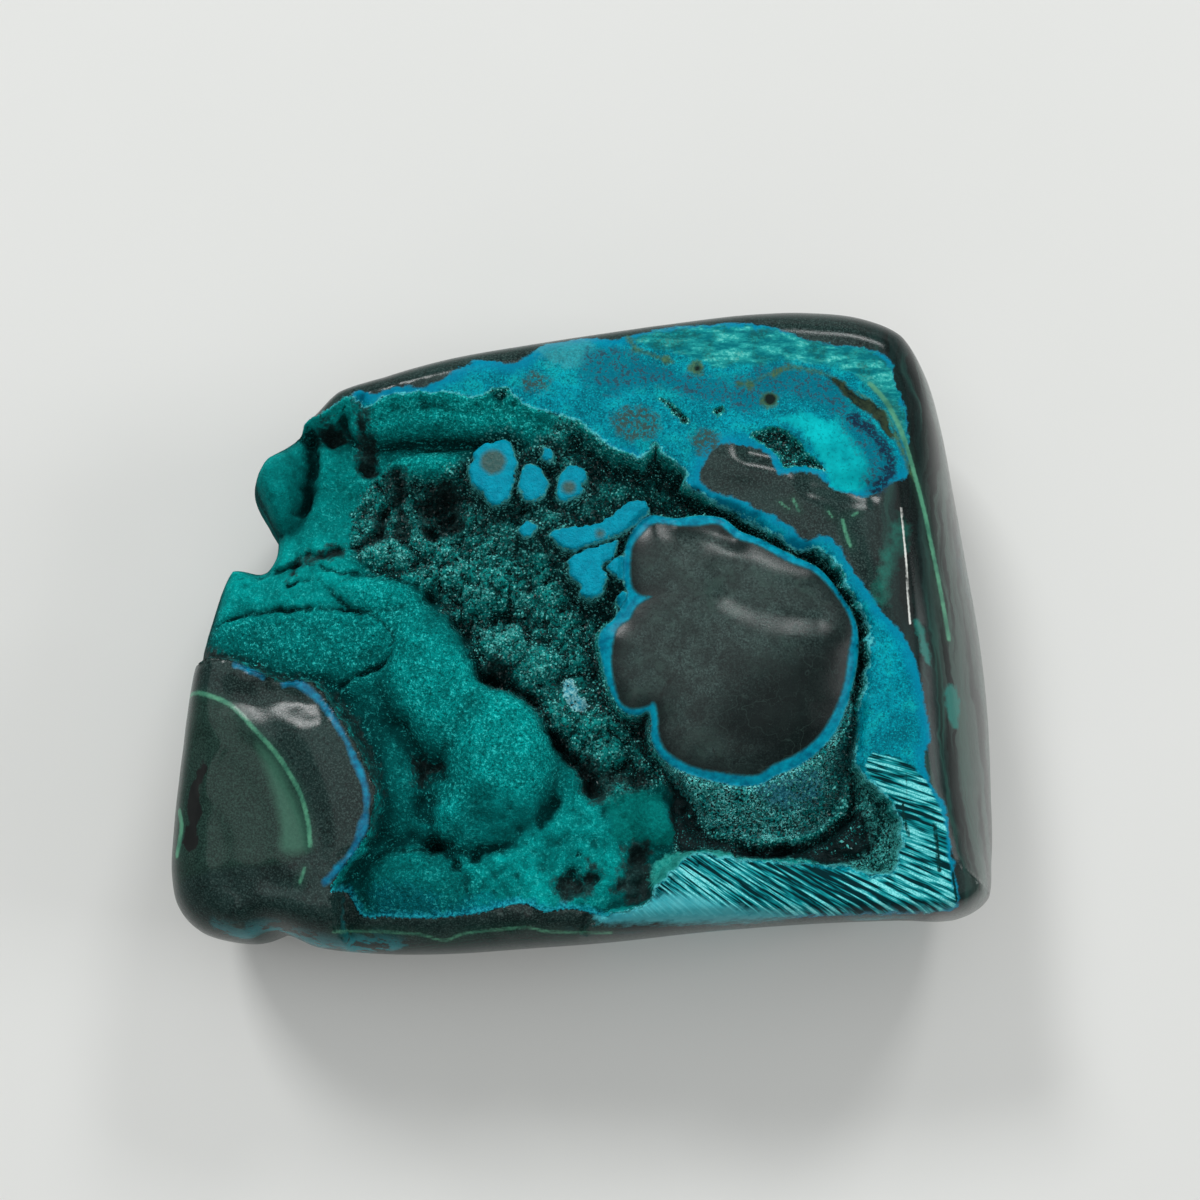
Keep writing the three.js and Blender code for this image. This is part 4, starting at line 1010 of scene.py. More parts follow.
def plain_marks(x, y):
    """Markings measured where they are, and the numbers that run across or along some of them."""
    return {
        "blue": depth_inside(x, y, BLUE_FIELD),
        "aqua": depth_inside(x, y, AQUA, SHORT_REACH),
        "pale": depth_inside(x, y, PALE_PATCH, SHORT_REACH),
        "turquoise": depth_inside(x, y, TURQUOISE, SHORT_REACH),
        "olive": np.maximum(inside_veins(x, y, OLIVE_VEINS), inside_eyes(x, y, OLIVE_EYES)),
        "mottled": inside_any(x, y, [OLIVE_PATCH, *GREY_PATCHES]),
        "wedge": depth_inside(x, y, OLIVE_WEDGE, SHORT_REACH),
        "eyes": inside_eyes(x, y, DARK_EYES),
        "grey_eye": inside_eyes(x, y, GREY_EYES),
        "speckled": inside_any(x, y, SPECKLED),
        "indigo": inside_veins(x, y, [INDIGO_CRESCENT]),
        "dense": depth_inside(x, y, DENSE_STRIAE),
        "light": inside_any(x, y, LIGHT_PATCHES),
        "bright_base": depth_inside(x, y, BRIGHT_BASE, SHORT_REACH),
        "dark_lines": inside_veins(x, y, DARK_LINES),
        "aqua_specks": inside_any(x, y, AQUA_SPECKS),
        "skirt_grey": depth_inside(x, y, SKIRT_GREY, SHORT_REACH),
        "skirt_shade": depth_inside(x, y, SKIRT_SHADE, SHORT_REACH),
        "blue_vein": inside_veins(x, y, BLUE_VEINS),
        "green_vein": inside_veins(x, y, PALE_GREEN_VEINS),
        "heart": depth_inside(x, y, GREEN_HEART),
        "green_wedge": depth_inside(x, y, GREEN_WEDGE, SHORT_REACH),
        "chips": inside_any(x, y, TEAL_CHIPS),
        "green_flame": depth_inside(x, y, GREEN_FLAME, SHORT_REACH),
        "glint": inside_veins(x, y, [POLISH_GLINT]),
        "rings": distance_to_line(x, y, open_curve(PALE_GREEN_VEINS[0][0]), RING_REACH),
        "ridge": x - np.interp(y, *RIDGE_LINE[::-1]),
        "along": y,
        "flank": smooth_step(49, 55, x),
        "pale_and_sheen_heart": depth_inside(x, y, PALE_AND_SHEEN_HEART),
        "shaded_heart": depth_inside(x, y, SHADED_HEART),
        "lobe_line": inside_veins(x, y, LOBE_LINES),
        "striae_reach": np.hypot(x - STRIAE_FOCUS[0], y - STRIAE_FOCUS[1]),
        "pile": 1 - 0.55 * smooth_step(-30, -36, x) * smooth_step(-1, 3, y) - 0.45 * sandy(x, y),
        "crust_shade": inside_any(x, y, CRUST_SHADE),
        "blue_edge": inside_any(x, y, BLUE_EDGES),
        "striae": np.arctan2(y - STRIAE_FOCUS[1], x - STRIAE_FOCUS[0]) * STRIAE_DISTANCE / STRIAE_SPACING,
    }


# ---- Materials ----
class Graph:
    """A few short words for making shader nodes. Coordinates are in millimetres."""

    def __init__(self, name):
        self.material = bpy.data.materials.new(name)
        self.material.use_nodes = True
        self.nodes = self.material.node_tree.nodes
        self.links = self.material.node_tree.links
        self.nodes.clear()
        self.shared = {}
        place = self.nodes.new("ShaderNodeTexCoord").outputs["Object"]
        scaled = self.nodes.new("ShaderNodeVectorMath")
        scaled.operation = "SCALE"
        self.links.new(place, scaled.inputs[0])
        scaled.inputs["Scale"].default_value = 1 / MM
        self.place = scaled.outputs[0]

    def put(self, value, socket):
        if isinstance(value, bpy.types.NodeSocket):
            self.links.new(value, socket)
        elif isinstance(value, tuple) and socket.type == "RGBA":
            socket.default_value = (*value, 1)
        else:
            socket.default_value = value

    def math(self, operation, a, b=0.0):
        node = self.nodes.new("ShaderNodeMath")
        node.operation = operation
        self.put(a, node.inputs[0])
        self.put(b, node.inputs[1])
        return node.outputs[0]

    def attribute(self, name):
        if name not in self.shared:
            node = self.nodes.new("ShaderNodeAttribute")
            node.attribute_name = name
            self.shared[name] = node.outputs["Fac"]
        return self.shared[name]

    def stretched(self, scale, turn=0.0):
        node = self.nodes.new("ShaderNodeMapping")
        self.links.new(self.place, node.inputs["Vector"])
        node.inputs["Scale"].default_value = scale
        node.inputs["Rotation"].default_value = (0, 0, math.radians(turn))
        return node.outputs[0]

    def noise(self, size, detail=3.0, roughness=0.55, place=None):
        node = self.nodes.new("ShaderNodeTexNoise")
        self.links.new(place or self.place, node.inputs["Vector"])
        node.inputs["Scale"].default_value = 1 / size
        node.inputs["Detail"].default_value = detail
        node.inputs["Roughness"].default_value = roughness
        return node.outputs["Fac"]

    def cells(self, size):
        """Distance to the middle of the nearest cell, and a random number of that cell."""
        node = self.nodes.new("ShaderNodeTexVoronoi")
        self.links.new(self.place, node.inputs["Vector"])
        node.inputs["Scale"].default_value = 1 / size
        split = self.nodes.new("ShaderNodeSeparateColor")
        self.links.new(node.outputs["Color"], split.inputs[0])
        return node.outputs["Distance"], split.outputs[1]

    def vector(self, x, y):
        node = self.nodes.new("ShaderNodeCombineXYZ")
        self.put(x, node.inputs[0])
        self.put(y, node.inputs[1])
        return node.outputs[0]

    def ramp(self, value, low, high, to_low=0.0, to_high=1.0):
        """value from low..high onto to_low..to_high, held at the ends."""
        node = self.nodes.new("ShaderNodeMapRange")
        for socket, number in zip(node.inputs, (value, low, high, to_low, to_high)):
            self.put(number, socket)
        return node.outputs[0]

    def mix(self, share, a, b):
        """Mix of two colours. The node's colour sockets follow those for numbers and vectors."""
        node = self.nodes.new("ShaderNodeMix")
        node.data_type = "RGBA"
        self.put(share, node.inputs[0])
        self.put(a, node.inputs[6])
        self.put(b, node.inputs[7])
        return node.outputs[2]

    def blend(self, share, a, b):
        """Mix of two numbers."""
        node = self.nodes.new("ShaderNodeMix")
        self.put(share, node.inputs[0])
        self.put(a, node.inputs[2])
        self.put(b, node.inputs[3])
        return node.outputs[0]

    def inside(self, name, grain, swing, soft=0.12, shift=0.0):
        """Share of a marking at each spot: its distance, swung to and fro by a grain to be ragged."""
        offset = self.ramp(grain, 0.25, 0.75, shift - swing, shift + swing)
        return self.ramp(self.math("ADD", self.attribute(name), offset), -soft, soft)

    def product(self, *values):
        result = values[0]
        for value in values[1:]:
            result = self.math("MULTIPLY", result, value)
        return result

    def finish(self, surface, height=None):
        """The material with this surface, and bumps of this height in millimetres."""
        shader = self.nodes.new("ShaderNodeBsdfPrincipled")
        self.put(surface.colour, shader.inputs["Base Color"])
        self.put(surface.roughness, shader.inputs["Roughness"])
        self.put(surface.gloss, shader.inputs["Specular IOR Level"])
        if height is not None:
            bump = self.nodes.new("ShaderNodeBump")
            bump.inputs["Strength"].default_value = 1.0
            bump.inputs["Distance"].default_value = MM
            self.put(height, bump.inputs["Height"])
            self.put(bump.outputs[0], shader.inputs["Normal"])
        output = self.nodes.new("ShaderNodeOutputMaterial")
        self.put(shader.outputs[0], output.inputs["Surface"])
        return self.material


class Surface:
    """Colour, roughness and gloss, with markings laid over each other one by one."""

    def __init__(self, graph, colour, roughness, gloss):
        self.graph = graph
        self.colour, self.roughness, self.gloss = colour, roughness, gloss

    def lay(self, share, colour, roughness=None, gloss=None):
        g = self.graph
        self.colour = g.mix(share, self.colour, colour)
        if roughness is not None:
            self.roughness = g.blend(share, self.roughness, roughness)
        if gloss is not None:
            self.gloss = g.blend(share, self.gloss, gloss)

    def cover(self, share, other):
        self.lay(share, other.colour, other.roughness, other.gloss)


class Grains:
    """Noises that all parts of the stone share, each with its size in millimetres, detail and roughness."""

    def __init__(self, g):
        self.micro = g.noise(0.26, 2.0, 0.7)
        self.fine = g.noise(0.5, 3.0, 0.68)
        self.coarse = g.noise(1.3, 4.0, 0.65)
        self.mottle = g.noise(3.2, 4.0, 0.62)
        self.cloud = g.noise(8.0, 3.0, 0.55)
        self.speck_distance, self.speck_chance = g.cells(0.42)


def malachite(g, grains):
    """Polished, nearly black malachite with faint green mottling and fine grain."""
    colour = g.mix(g.ramp(grains.cloud, 0.36, 0.66), (0.005, 0.016, 0.015), (0.010, 0.032, 0.029))
    colour = g.mix(g.ramp(grains.micro, 0.48, 0.64, 0.0, 0.8), colour, (0.045, 0.085, 0.078))
    colour = g.mix(g.ramp(grains.fine, 0.36, 0.46, 0.7, 0.0), colour, (0.003, 0.007, 0.007))
    roughness = g.ramp(grains.fine, 0.3, 0.7, 0.16, 0.26)
    return Surface(g, colour, roughness, 0.25)


def side_bands(g, grains, surface):
    """Green bands that run round the sides, following the growth of the stone."""
    place = g.nodes.new("ShaderNodeSeparateXYZ")
    g.links.new(g.place, place.inputs[0])
    wander = g.noise(24.0, 2.0, 0.5)
    level = g.math("ADD", place.outputs["Z"], g.math("MULTIPLY", wander, 30.0))
    level = g.math("ADD", level, g.math("MULTIPLY", grains.mottle, 0.5))
    broad = g.math("SINE", g.math("MULTIPLY", level, 0.75))
    narrow = g.math("SINE", g.math("MULTIPLY", level, 3.3))
    facing = g.nodes.new("ShaderNodeSeparateXYZ")
    g.links.new(g.nodes.new("ShaderNodeNewGeometry").outputs["Normal"], facing.inputs[0])
    low = g.ramp(place.outputs["Z"], 27.0, 34.0, 1.0, 0.0)
    low = g.product(low, g.ramp(facing.outputs["Z"], 0.45, 0.75, 1.0, 0.0))
    surface.lay(g.product(g.ramp(broad, -0.2, 0.9), low, 0.5), (0.006, 0.022, 0.018))
    bright = g.product(g.ramp(narrow, 0.55, 0.98), g.ramp(broad, -0.6, 0.5), low, 0.5)
    surface.lay(bright, (0.026, 0.105, 0.072))
    rounded = g.ramp(facing.outputs["Z"], 0.72, 0.93, 1.0, 0.0)
    surface.gloss = g.blend(rounded, surface.gloss, g.blend(g.attribute("flank"), 0.03, 0.5))
    patches = g.product(g.ramp(wander, 0.56, 0.60), g.ramp(grains.mottle, 0.44, 0.50), low, 0.9)
    surface.lay(patches, g.mix(grains.coarse, (0.001, 0.130, 0.170), (0.004, 0.330, 0.360)))


def ridge_streaks(g, grains, surface):
    """Flowing pale and dark streaks along the right-hand edge of the top and down that side; grey-green
    streaks beyond the ridge partly paint in the flank's reflection.
    """
    across = g.attribute("ridge")
    bent = g.math("ADD", g.math("MULTIPLY", across, 0.7), g.math("MULTIPLY", grains.cloud, 3.0))
    flow = g.noise(1.6, 3.0, 0.55, place=g.vector(bent, g.math("MULTIPLY", g.attribute("along"), 0.035)))
    near = g.product(g.ramp(across, -8.0, -3.0), g.ramp(across, 10.0, 20.0, 1.0, 0.0))
    ground = g.mix(g.ramp(flow, 0.44, 0.56), (0.002, 0.005, 0.005), (0.005, 0.020, 0.019))
    surface.lay(g.product(near, 0.85), ground)
    surface.lay(g.product(g.ramp(flow, 0.57, 0.66), near, 0.6), (0.020, 0.090, 0.072))
    surface.lay(g.product(g.ramp(flow, 0.65, 0.70), near, 0.8), (0.004, 0.008, 0.008))
    # Grey-green streaks beyond the ridge: partly a painted reflection.
    edge = g.product(g.ramp(across, 0.5, 4.0), g.ramp(flow, 0.44, 0.52), near)
    surface.lay(g.product(edge, 0.5), (0.080, 0.130, 0.112))


def blue_field(g, grains, surface):
    """Polished cerulean chrysocolla, clouded lighter and deeper. Returns its share at each spot."""
    field = g.inside("blue", grains.coarse, 0.45, 0.18)
    blue = g.mix(g.ramp(grains.cloud, 0.38, 0.62), (0.0004, 0.205, 0.275), (0.0006, 0.335, 0.440))
    blue = g.mix(g.ramp(grains.mottle, 0.50, 0.62, 0.0, 0.7), blue, (0.004, 0.420, 0.440))
    blue = g.mix(g.ramp(grains.mottle, 0.34, 0.48, 0.7, 0.0), blue, (0.0004, 0.125, 0.170))
    blue = g.mix(g.ramp(grains.coarse, 0.40, 0.54, 0.4, 0.0), blue, (0.0004, 0.130, 0.175))
    blue = g.mix(g.ramp(grains.fine, 0.38, 0.48, 0.7, 0.0), blue, (0.0004, 0.095, 0.140))
    blue = g.mix(g.product(g.ramp(grains.micro, 0.54, 0.66), 0.7), blue, (0.002, 0.480, 0.570))
    blue = g.mix(g.ramp(grains.micro, 0.36, 0.46, 0.6, 0.0), blue, (0.0004, 0.080, 0.120))
    edge = g.math("SUBTRACT", 1.0, g.inside("blue", grains.coarse, 0.5, 0.8, shift=-1.3))
    blue = g.mix(g.product(edge, 0.8), blue, (0.0006, 0.225, 0.375))
    surface.lay(field, blue, 0.3, 0.03)
    return field


def aqua_zones(g, grains, surface, field):
    """The blue field's paler zones: streaked aqua, a pale patch and smooth turquoise."""
    streaks = g.noise(1.5, 4.0, 0.7, place=g.stretched((0.42, 1.2, 1.0), 12.0))
    aqua = g.mix(g.ramp(streaks, 0.42, 0.58), (0.0010, 0.160, 0.190), (0.020, 0.380, 0.370))
    bright = g.product(g.ramp(streaks, 0.54, 0.64), g.ramp(grains.fine, 0.44, 0.60))
    aqua = g.mix(bright, aqua, (0.140, 0.640, 0.580))
    dull = g.product(g.ramp(grains.mottle, 0.40, 0.52, 0.7, 0.0), g.ramp(grains.fine, 0.40, 0.52))
    aqua = g.mix(dull, aqua, (0.006, 0.090, 0.090))
    aqua = g.mix(g.ramp(grains.fine, 0.44, 0.34, 0.0, 0.7), aqua, (0.002, 0.170, 0.185))
    surface.lay(g.product(field, g.inside("aqua", grains.coarse, 1.0, 0.35)), aqua)
    pale = g.mix(grains.fine, (0.006, 0.230, 0.260), (0.120, 0.460, 0.450))
    surface.lay(g.product(g.inside("pale", grains.coarse, 1.0, 0.5), 0.4), pale)
    smooth = g.mix(g.ramp(grains.mottle, 0.35, 0.65), (0.0005, 0.320, 0.370), (0.002, 0.560, 0.600))
    smooth = g.mix(g.ramp(grains.fine, 0.36, 0.46, 0.6, 0.0), smooth, (0.0005, 0.200, 0.240))
    surface.lay(g.inside("turquoise", grains.coarse, 0.5, 0.35), smooth)


def blue_markings(g, grains, surface):
    """The blue field's dark markings: mauve specks, an indigo crescent, olive veins and eyes."""
    zone = g.inside("speckled", grains.coarse, 1.2, 0.8)
    surface.lay(g.product(zone, 0.75), g.mix(grains.coarse, (0.0006, 0.095, 0.160), (0.001, 0.210, 0.290)))
    speck = g.ramp(g.math("ADD", grains.fine, g.math("MULTIPLY", grains.coarse, 0.5)), 0.76, 0.84)
    mauve = g.mix(grains.micro, (0.004, 0.020, 0.035), (0.050, 0.110, 0.150))
    surface.lay(g.product(speck, zone, 0.85), mauve)
    indigo = g.product(g.inside("indigo", grains.coarse, 0.9, 0.4), g.ramp(grains.fine, 0.36, 0.48))
    surface.lay(g.product(indigo, 0.9), (0.008, 0.020, 0.045))
    olive = g.mix(g.ramp(grains.fine, 0.35, 0.65), (0.020, 0.070, 0.045), (0.085, 0.170, 0.060))
    surface.lay(g.product(g.inside("olive", grains.coarse, 0.4, 0.3), 0.85), olive)
    mottled = g.product(g.inside("mottled", grains.coarse, 1.0, 0.5), g.ramp(grains.fine, 0.40, 0.54))
    surface.lay(mottled, g.mix(grains.fine, (0.004, 0.045, 0.060), (0.060, 0.110, 0.095)))
    wedge = g.mix(g.ramp(grains.coarse, 0.4, 0.6), (0.006, 0.014, 0.012), (0.030, 0.050, 0.028))
    surface.lay(g.inside("wedge", grains.coarse, 0.4, 0.2), wedge)
    surface.lay(g.inside("eyes", grains.fine, 0.15, 0.2), (0.008, 0.016, 0.014))


def striated_corner(g, grains, surface, field):
    """The front right corner: fine straight striae of pale aqua and black."""
    wander = g.math("MULTIPLY", grains.mottle, 0.6)
    line = g.math("SINE", g.math("MULTIPLY", g.math("ADD", g.attribute("striae"), wander), math.pi))
    across = g.math("MULTIPLY", g.attribute("striae"), STRIAE_SPACING)
    along = g.attribute("striae_reach")
    strokes = g.noise(0.34, 2.0, 0.6, place=g.vector(across, g.math("MULTIPLY", along, 0.05)))
    broad = g.noise(1.2, 2.0, 0.5, place=g.vector(across, g.math("MULTIPLY", along, 0.12)))
    dense = g.inside("dense", grains.coarse, 1.0, 1.2)
    cut = g.math("ADD", g.math("MULTIPLY", g.math("ABSOLUTE", line), 0.16), strokes)
    cut = g.math("ADD", cut, g.math("MULTIPLY", broad, 0.6))
    cut = g.math("SUBTRACT", cut, g.math("MULTIPLY", dense, 0.06))
    dark = g.ramp(cut, 0.81, 0.86, 1.0, 0.0)
    pale = g.mix(g.ramp(cut, 0.86, 0.94), (0.001, 0.120, 0.140), (0.010, 0.330, 0.360))
    pale = g.mix(g.ramp(cut, 0.94, 1.03), pale, (0.110, 0.600, 0.620))
    share = g.product(field, g.inside("striated", grains.coarse, 0.3, 0.2))
    surface.lay(share, pale, 0.4)
    surface.lay(g.product(share, dark, 0.95), (0.0010, 0.018, 0.022), 0.5)
    # Painted glints along the palest strokes.
    glint = g.product(share, g.ramp(cut, 0.95, 1.03), g.ramp(grains.micro, 0.44, 0.54))
    surface.lay(g.product(glint, 0.9), (0.260, 0.860, 0.880))
    flat = g.product(g.inside("bright_base", grains.coarse, 0.5, 0.5), 0.85)
    surface.lay(flat, g.mix(grains.coarse, (0.012, 0.330, 0.400), (0.120, 0.500, 0.540)))
    surface.lay(g.inside("dark_lines", grains.fine, 0.15, 0.1), (0.002, 0.030, 0.030))


def left_nodule(g, grains, surface):
    """Marks of the banded nodule: its green heart, its pale line and wedge, and the black patch."""
    heart = g.inside("heart", grains.coarse, 0.2, 0.5)
    green = g.mix(g.ramp(grains.micro, 0.38, 0.66), (0.005, 0.018, 0.014), (0.024, 0.066, 0.050))
    surface.lay(g.product(heart, 0.8), green)
    ring = g.math("SINE", g.math("MULTIPLY", g.attribute("rings"), 2.4))
    near = g.ramp(g.attribute("rings"), 1.0, 9.0, 0.10, 0.0)
    surface.lay(g.product(heart, g.ramp(ring, 0.0, 1.0), near), (0.016, 0.060, 0.044))
    wedge = g.mix(grains.fine, (0.022, 0.090, 0.062), (0.060, 0.185, 0.125))
    surface.lay(g.product(g.inside("green_wedge", grains.coarse, 0.2, 0.7), 0.85), wedge)
    halo = g.product(g.inside("green_vein", grains.fine, 0.05, 0.7, shift=0.35), 0.45)
    surface.lay(halo, (0.014, 0.066, 0.047))
    line = g.mix(g.ramp(grains.mottle, 0.4, 0.6), (0.045, 0.200, 0.130), (0.100, 0.360, 0.220))
    surface.lay(g.product(g.inside("green_vein", grains.fine, 0.10, 0.14), 0.9), line)
    surface.lay(g.inside("black", grains.coarse, 0.3, 0.1), (0.010, 0.012, 0.012))
    surface.lay(g.product(g.inside("chips", grains.coarse, 0.5, 0.3), 0.8), (0.010, 0.190, 0.160))
    flame = g.inside("green_flame", grains.coarse, 1.0, 0.9, shift=0.2)
    flame = g.product(flame, g.ramp(grains.mottle, 0.3, 0.6), 0.8)
    surface.lay(flame, (0.008, 0.170, 0.130))
    # Painted highlight: a white line along the polished ridge.
    surface.lay(g.inside("glint", grains.fine, 0.05, 0.06), (0.75, 0.78, 0.74), 0.2)


def velvet(g, grains):
    """Teal crust of very fine needles, with painted light that makes it bright on the crowns and painted
    shade that makes it dark in the creases.
    """
    # Painted light and shade: the colour runs from dark to bright with the height against its surroundings.
    crown = g.math("ADD", g.math("MULTIPLY", g.attribute("swell"), 0.4), g.attribute("crown"))
    colour = g.mix(g.ramp(crown, -2.0, 1.5), (0.0005, 0.030, 0.030), (0.0010, 0.500, 0.480))
    blue_edge = g.product(g.inside("blue_edge", grains.coarse, 1.2, 1.0), 0.7)
    colour = g.mix(blue_edge, colour, (0.0006, 0.190, 0.310))
    colour = g.mix(g.ramp(grains.mottle, 0.36, 0.60, 0.55, 0.0), colour, (0.0006, 0.130, 0.125))
    colour = g.mix(g.ramp(grains.coarse, 0.30, 0.50, 0.45, 0.0), colour, (0.0006, 0.090, 0.086))
    # Painted shade in the creases.
    colour = g.mix(g.ramp(g.attribute("crease"), -0.03, -0.30, 0.0, 0.8), colour, (0.0004, 0.030, 0.030))
    pile = g.attribute("pile")
    shadow = (0.0005, 0.035, 0.035)
    faint = g.product(g.ramp(grains.micro, 0.38, 0.56, 0.45, 0.0), pile)
    colour = g.mix(faint, colour, (0.0005, 0.045, 0.045))
    colour = g.mix(g.product(g.ramp(grains.fine, 0.36, 0.48, 0.75, 0.0), pile), colour, shadow)
    for grain, width in ((grains.coarse, 0.026), (grains.fine, 0.040)):
        crinkle = g.math("ABSOLUTE", g.math("SUBTRACT", grain, 0.5))
        colour = g.mix(g.product(g.ramp(crinkle, 0.0, width, 0.55, 0.0), pile), colour, shadow)
    # Painted glints on the pile's grains.
    spark = g.product(g.ramp(grains.fine, 0.52, 0.64), g.ramp(grains.micro, 0.44, 0.58),
                      g.ramp(grains.mottle, 0.40, 0.58, 0.35, 1.0), pile)
    colour = g.mix(g.product(spark, 0.9), colour, (0.050, 0.700, 0.670))
    # Painted shade over parts of the crust.
    crust_shade = g.product(g.inside("crust_shade", grains.coarse, 1.2, 1.0), 0.5)
    colour = g.mix(crust_shade, colour, (0.0005, 0.050, 0.050))
    return Surface(g, colour, 0.9, 0.03)


def druse(g, grains):
    """Dark teal crystals with pale faces, some of them painted glints, with painted light on the crowns and
    painted shade in the creases.
    """
    # Painted light and shade: paler on the crowns, with a random tone laid over.
    crown = g.math("ADD", g.attribute("crown"), g.ramp(grains.coarse, 0.3, 0.7, -0.8, 0.8))
    colour = g.mix(g.ramp(crown, -1.2, 0.7), (0.0006, 0.034, 0.033), (0.0010, 0.290, 0.270))
    colour = g.mix(g.ramp(grains.fine, 0.42, 0.53, 0.9, 0.0), colour, (0.0006, 0.010, 0.010))
    # Painted shade in the creases.
    colour = g.mix(g.ramp(g.attribute("crease"), -0.05, -0.40, 0.0, 0.95), colour, (0.0006, 0.008, 0.008))
    # Pale crystal specks, partly painted glints.
    dot = g.ramp(grains.speck_distance, 0.42, 0.30)
    often = g.math("ADD", grains.speck_chance, g.math("MULTIPLY", grains.mottle, 0.9))
    spark = g.product(dot, g.ramp(often, 0.96, 1.03))
    colour = g.mix(spark, colour, (0.170, 0.700, 0.660))
    colour = g.mix(g.product(g.ramp(grains.micro, 0.55, 0.63), 0.6), colour, (0.020, 0.420, 0.400))
    return Surface(g, colour, g.blend(spark, 0.6, 0.35), 0.12)


def crust(g, grains):
    """The unpolished hollow: velvet on the left, druse elsewhere, with black and bright zones, and painted
    shade where the hollow is deepest.
    """
    surface = druse(g, grains)
    surface.cover(g.inside("velvet", grains.coarse, 1.0, 0.5), velvet(g, grains))
    plaster = g.mix(g.ramp(grains.fine, 0.35, 0.65), (0.0010, 0.140, 0.128), (0.0016, 0.230, 0.205))
    surface.lay(g.product(g.inside("plaster", grains.coarse, 0.3, 0.3), 0.7), plaster)
    # Painted shade in the deepest parts of the hollow.
    deep = g.ramp(g.attribute("depth"), 9.0, 13.0)
    surface.lay(g.product(deep, 0.9), (0.0008, 0.010, 0.010))
    soot = g.mix(g.ramp(grains.fine, 0.5, 0.66), (0.004, 0.012, 0.012), (0.020, 0.046, 0.044))
    surface.lay(g.product(g.inside("black_crust", grains.coarse, 1.5, 0.6), 0.85), soot, 0.6, 0.2)
    edge = g.ramp(g.math("ADD", g.attribute("band"), g.math("MULTIPLY", grains.coarse, 2.4)), 0.1, 1.0)
    fringe = g.mix(g.ramp(grains.fine, 0.42, 0.60), (0.0008, 0.130, 0.210), (0.020, 0.440, 0.540))
    surface.lay(g.product(edge, g.ramp(grains.fine, 0.34, 0.48, 0.2, 0.9)), fringe)
    return surface


def islets_and_basin(g, grains, surface):
    """Polished blue islets in their bright sparkling fringes, and the dark basin of the front right."""
    dot = g.ramp(grains.speck_distance, 0.50, 0.36)
    lively = g.ramp(grains.speck_chance, 0.40, 0.55)
    near = g.inside("islet", grains.coarse, 1.1, 0.9, shift=1.7)
    surface.lay(g.product(near, 0.85), (0.0008, 0.026, 0.026))
    surface.lay(g.product(near, dot, lively), (0.130, 0.560, 0.530), 0.4)
    fringe = g.inside("islet", grains.fine, 0.3, 0.1, shift=0.16)
    surface.lay(g.product(fringe, 0.85), (0.080, 0.480, 0.480), 0.5)
    islet = g.inside("islet", grains.fine, 0.22, 0.06)
    blue = g.mix(g.ramp(grains.coarse, 0.35, 0.65), (0.0006, 0.255, 0.380), (0.0010, 0.350, 0.500))
    surface.lay(islet, blue, 0.35, 0.06)
    eye = g.mix(g.ramp(grains.fine, 0.4, 0.6), (0.050, 0.100, 0.080), (0.085, 0.130, 0.105))
    surface.lay(g.product(islet, g.inside("grey_eye", grains.coarse, 0.25, 0.35), 0.9), eye)

    basin = g.inside("basin", grains.fine, 0.5, 0.2)
    surface.lay(basin, g.mix(grains.fine, (0.001, 0.007, 0.008), (0.005, 0.018, 0.019)), 0.5, 0.12)
    spark = g.product(basin, g.ramp(grains.micro, 0.60, 0.66), g.ramp(grains.mottle, 0.46, 0.56))
    surface.lay(spark, (0.030, 0.320, 0.310))
    salt = g.mix(g.ramp(grains.micro, 0.4, 0.6), (0.004, 0.150, 0.145), (0.110, 0.600, 0.560))
    salty = g.product(g.inside("aqua_specks", grains.coarse, 1.0, 0.7), g.ramp(grains.fine, 0.45, 0.53))
    surface.lay(salty, salt, 0.5)
    light = g.mix(g.ramp(grains.fine, 0.35, 0.65), (0.006, 0.270, 0.240), (0.050, 0.480, 0.420))
    surface.lay(g.product(g.inside("light", grains.coarse, 0.8, 0.3), 0.9), light, 0.6)
    white = g.mix(g.ramp(grains.fine, 0.4, 0.6), (0.010, 0.300, 0.420), (0.330, 0.720, 0.740))
    surface.lay(g.inside("white", grains.fine, 0.5, 0.1), white, 0.5)


def crust_edge(g, grains, surface):
    """Pale ragged line where the polish meets the crust."""
    line = g.math("SUBTRACT", g.inside("wall", grains.fine, 0.35, 0.05, shift=0.16),
                  g.inside("wall", grains.fine, 0.35, 0.05, shift=-0.16))
    line = g.product(line, g.ramp(grains.coarse, 0.40, 0.52))
    line = g.product(line, g.inside("blue", grains.coarse, 0.4, 1.0, shift=0.5), 0.9)
    surface.lay(line, (0.090, 0.560, 0.600), 0.5)


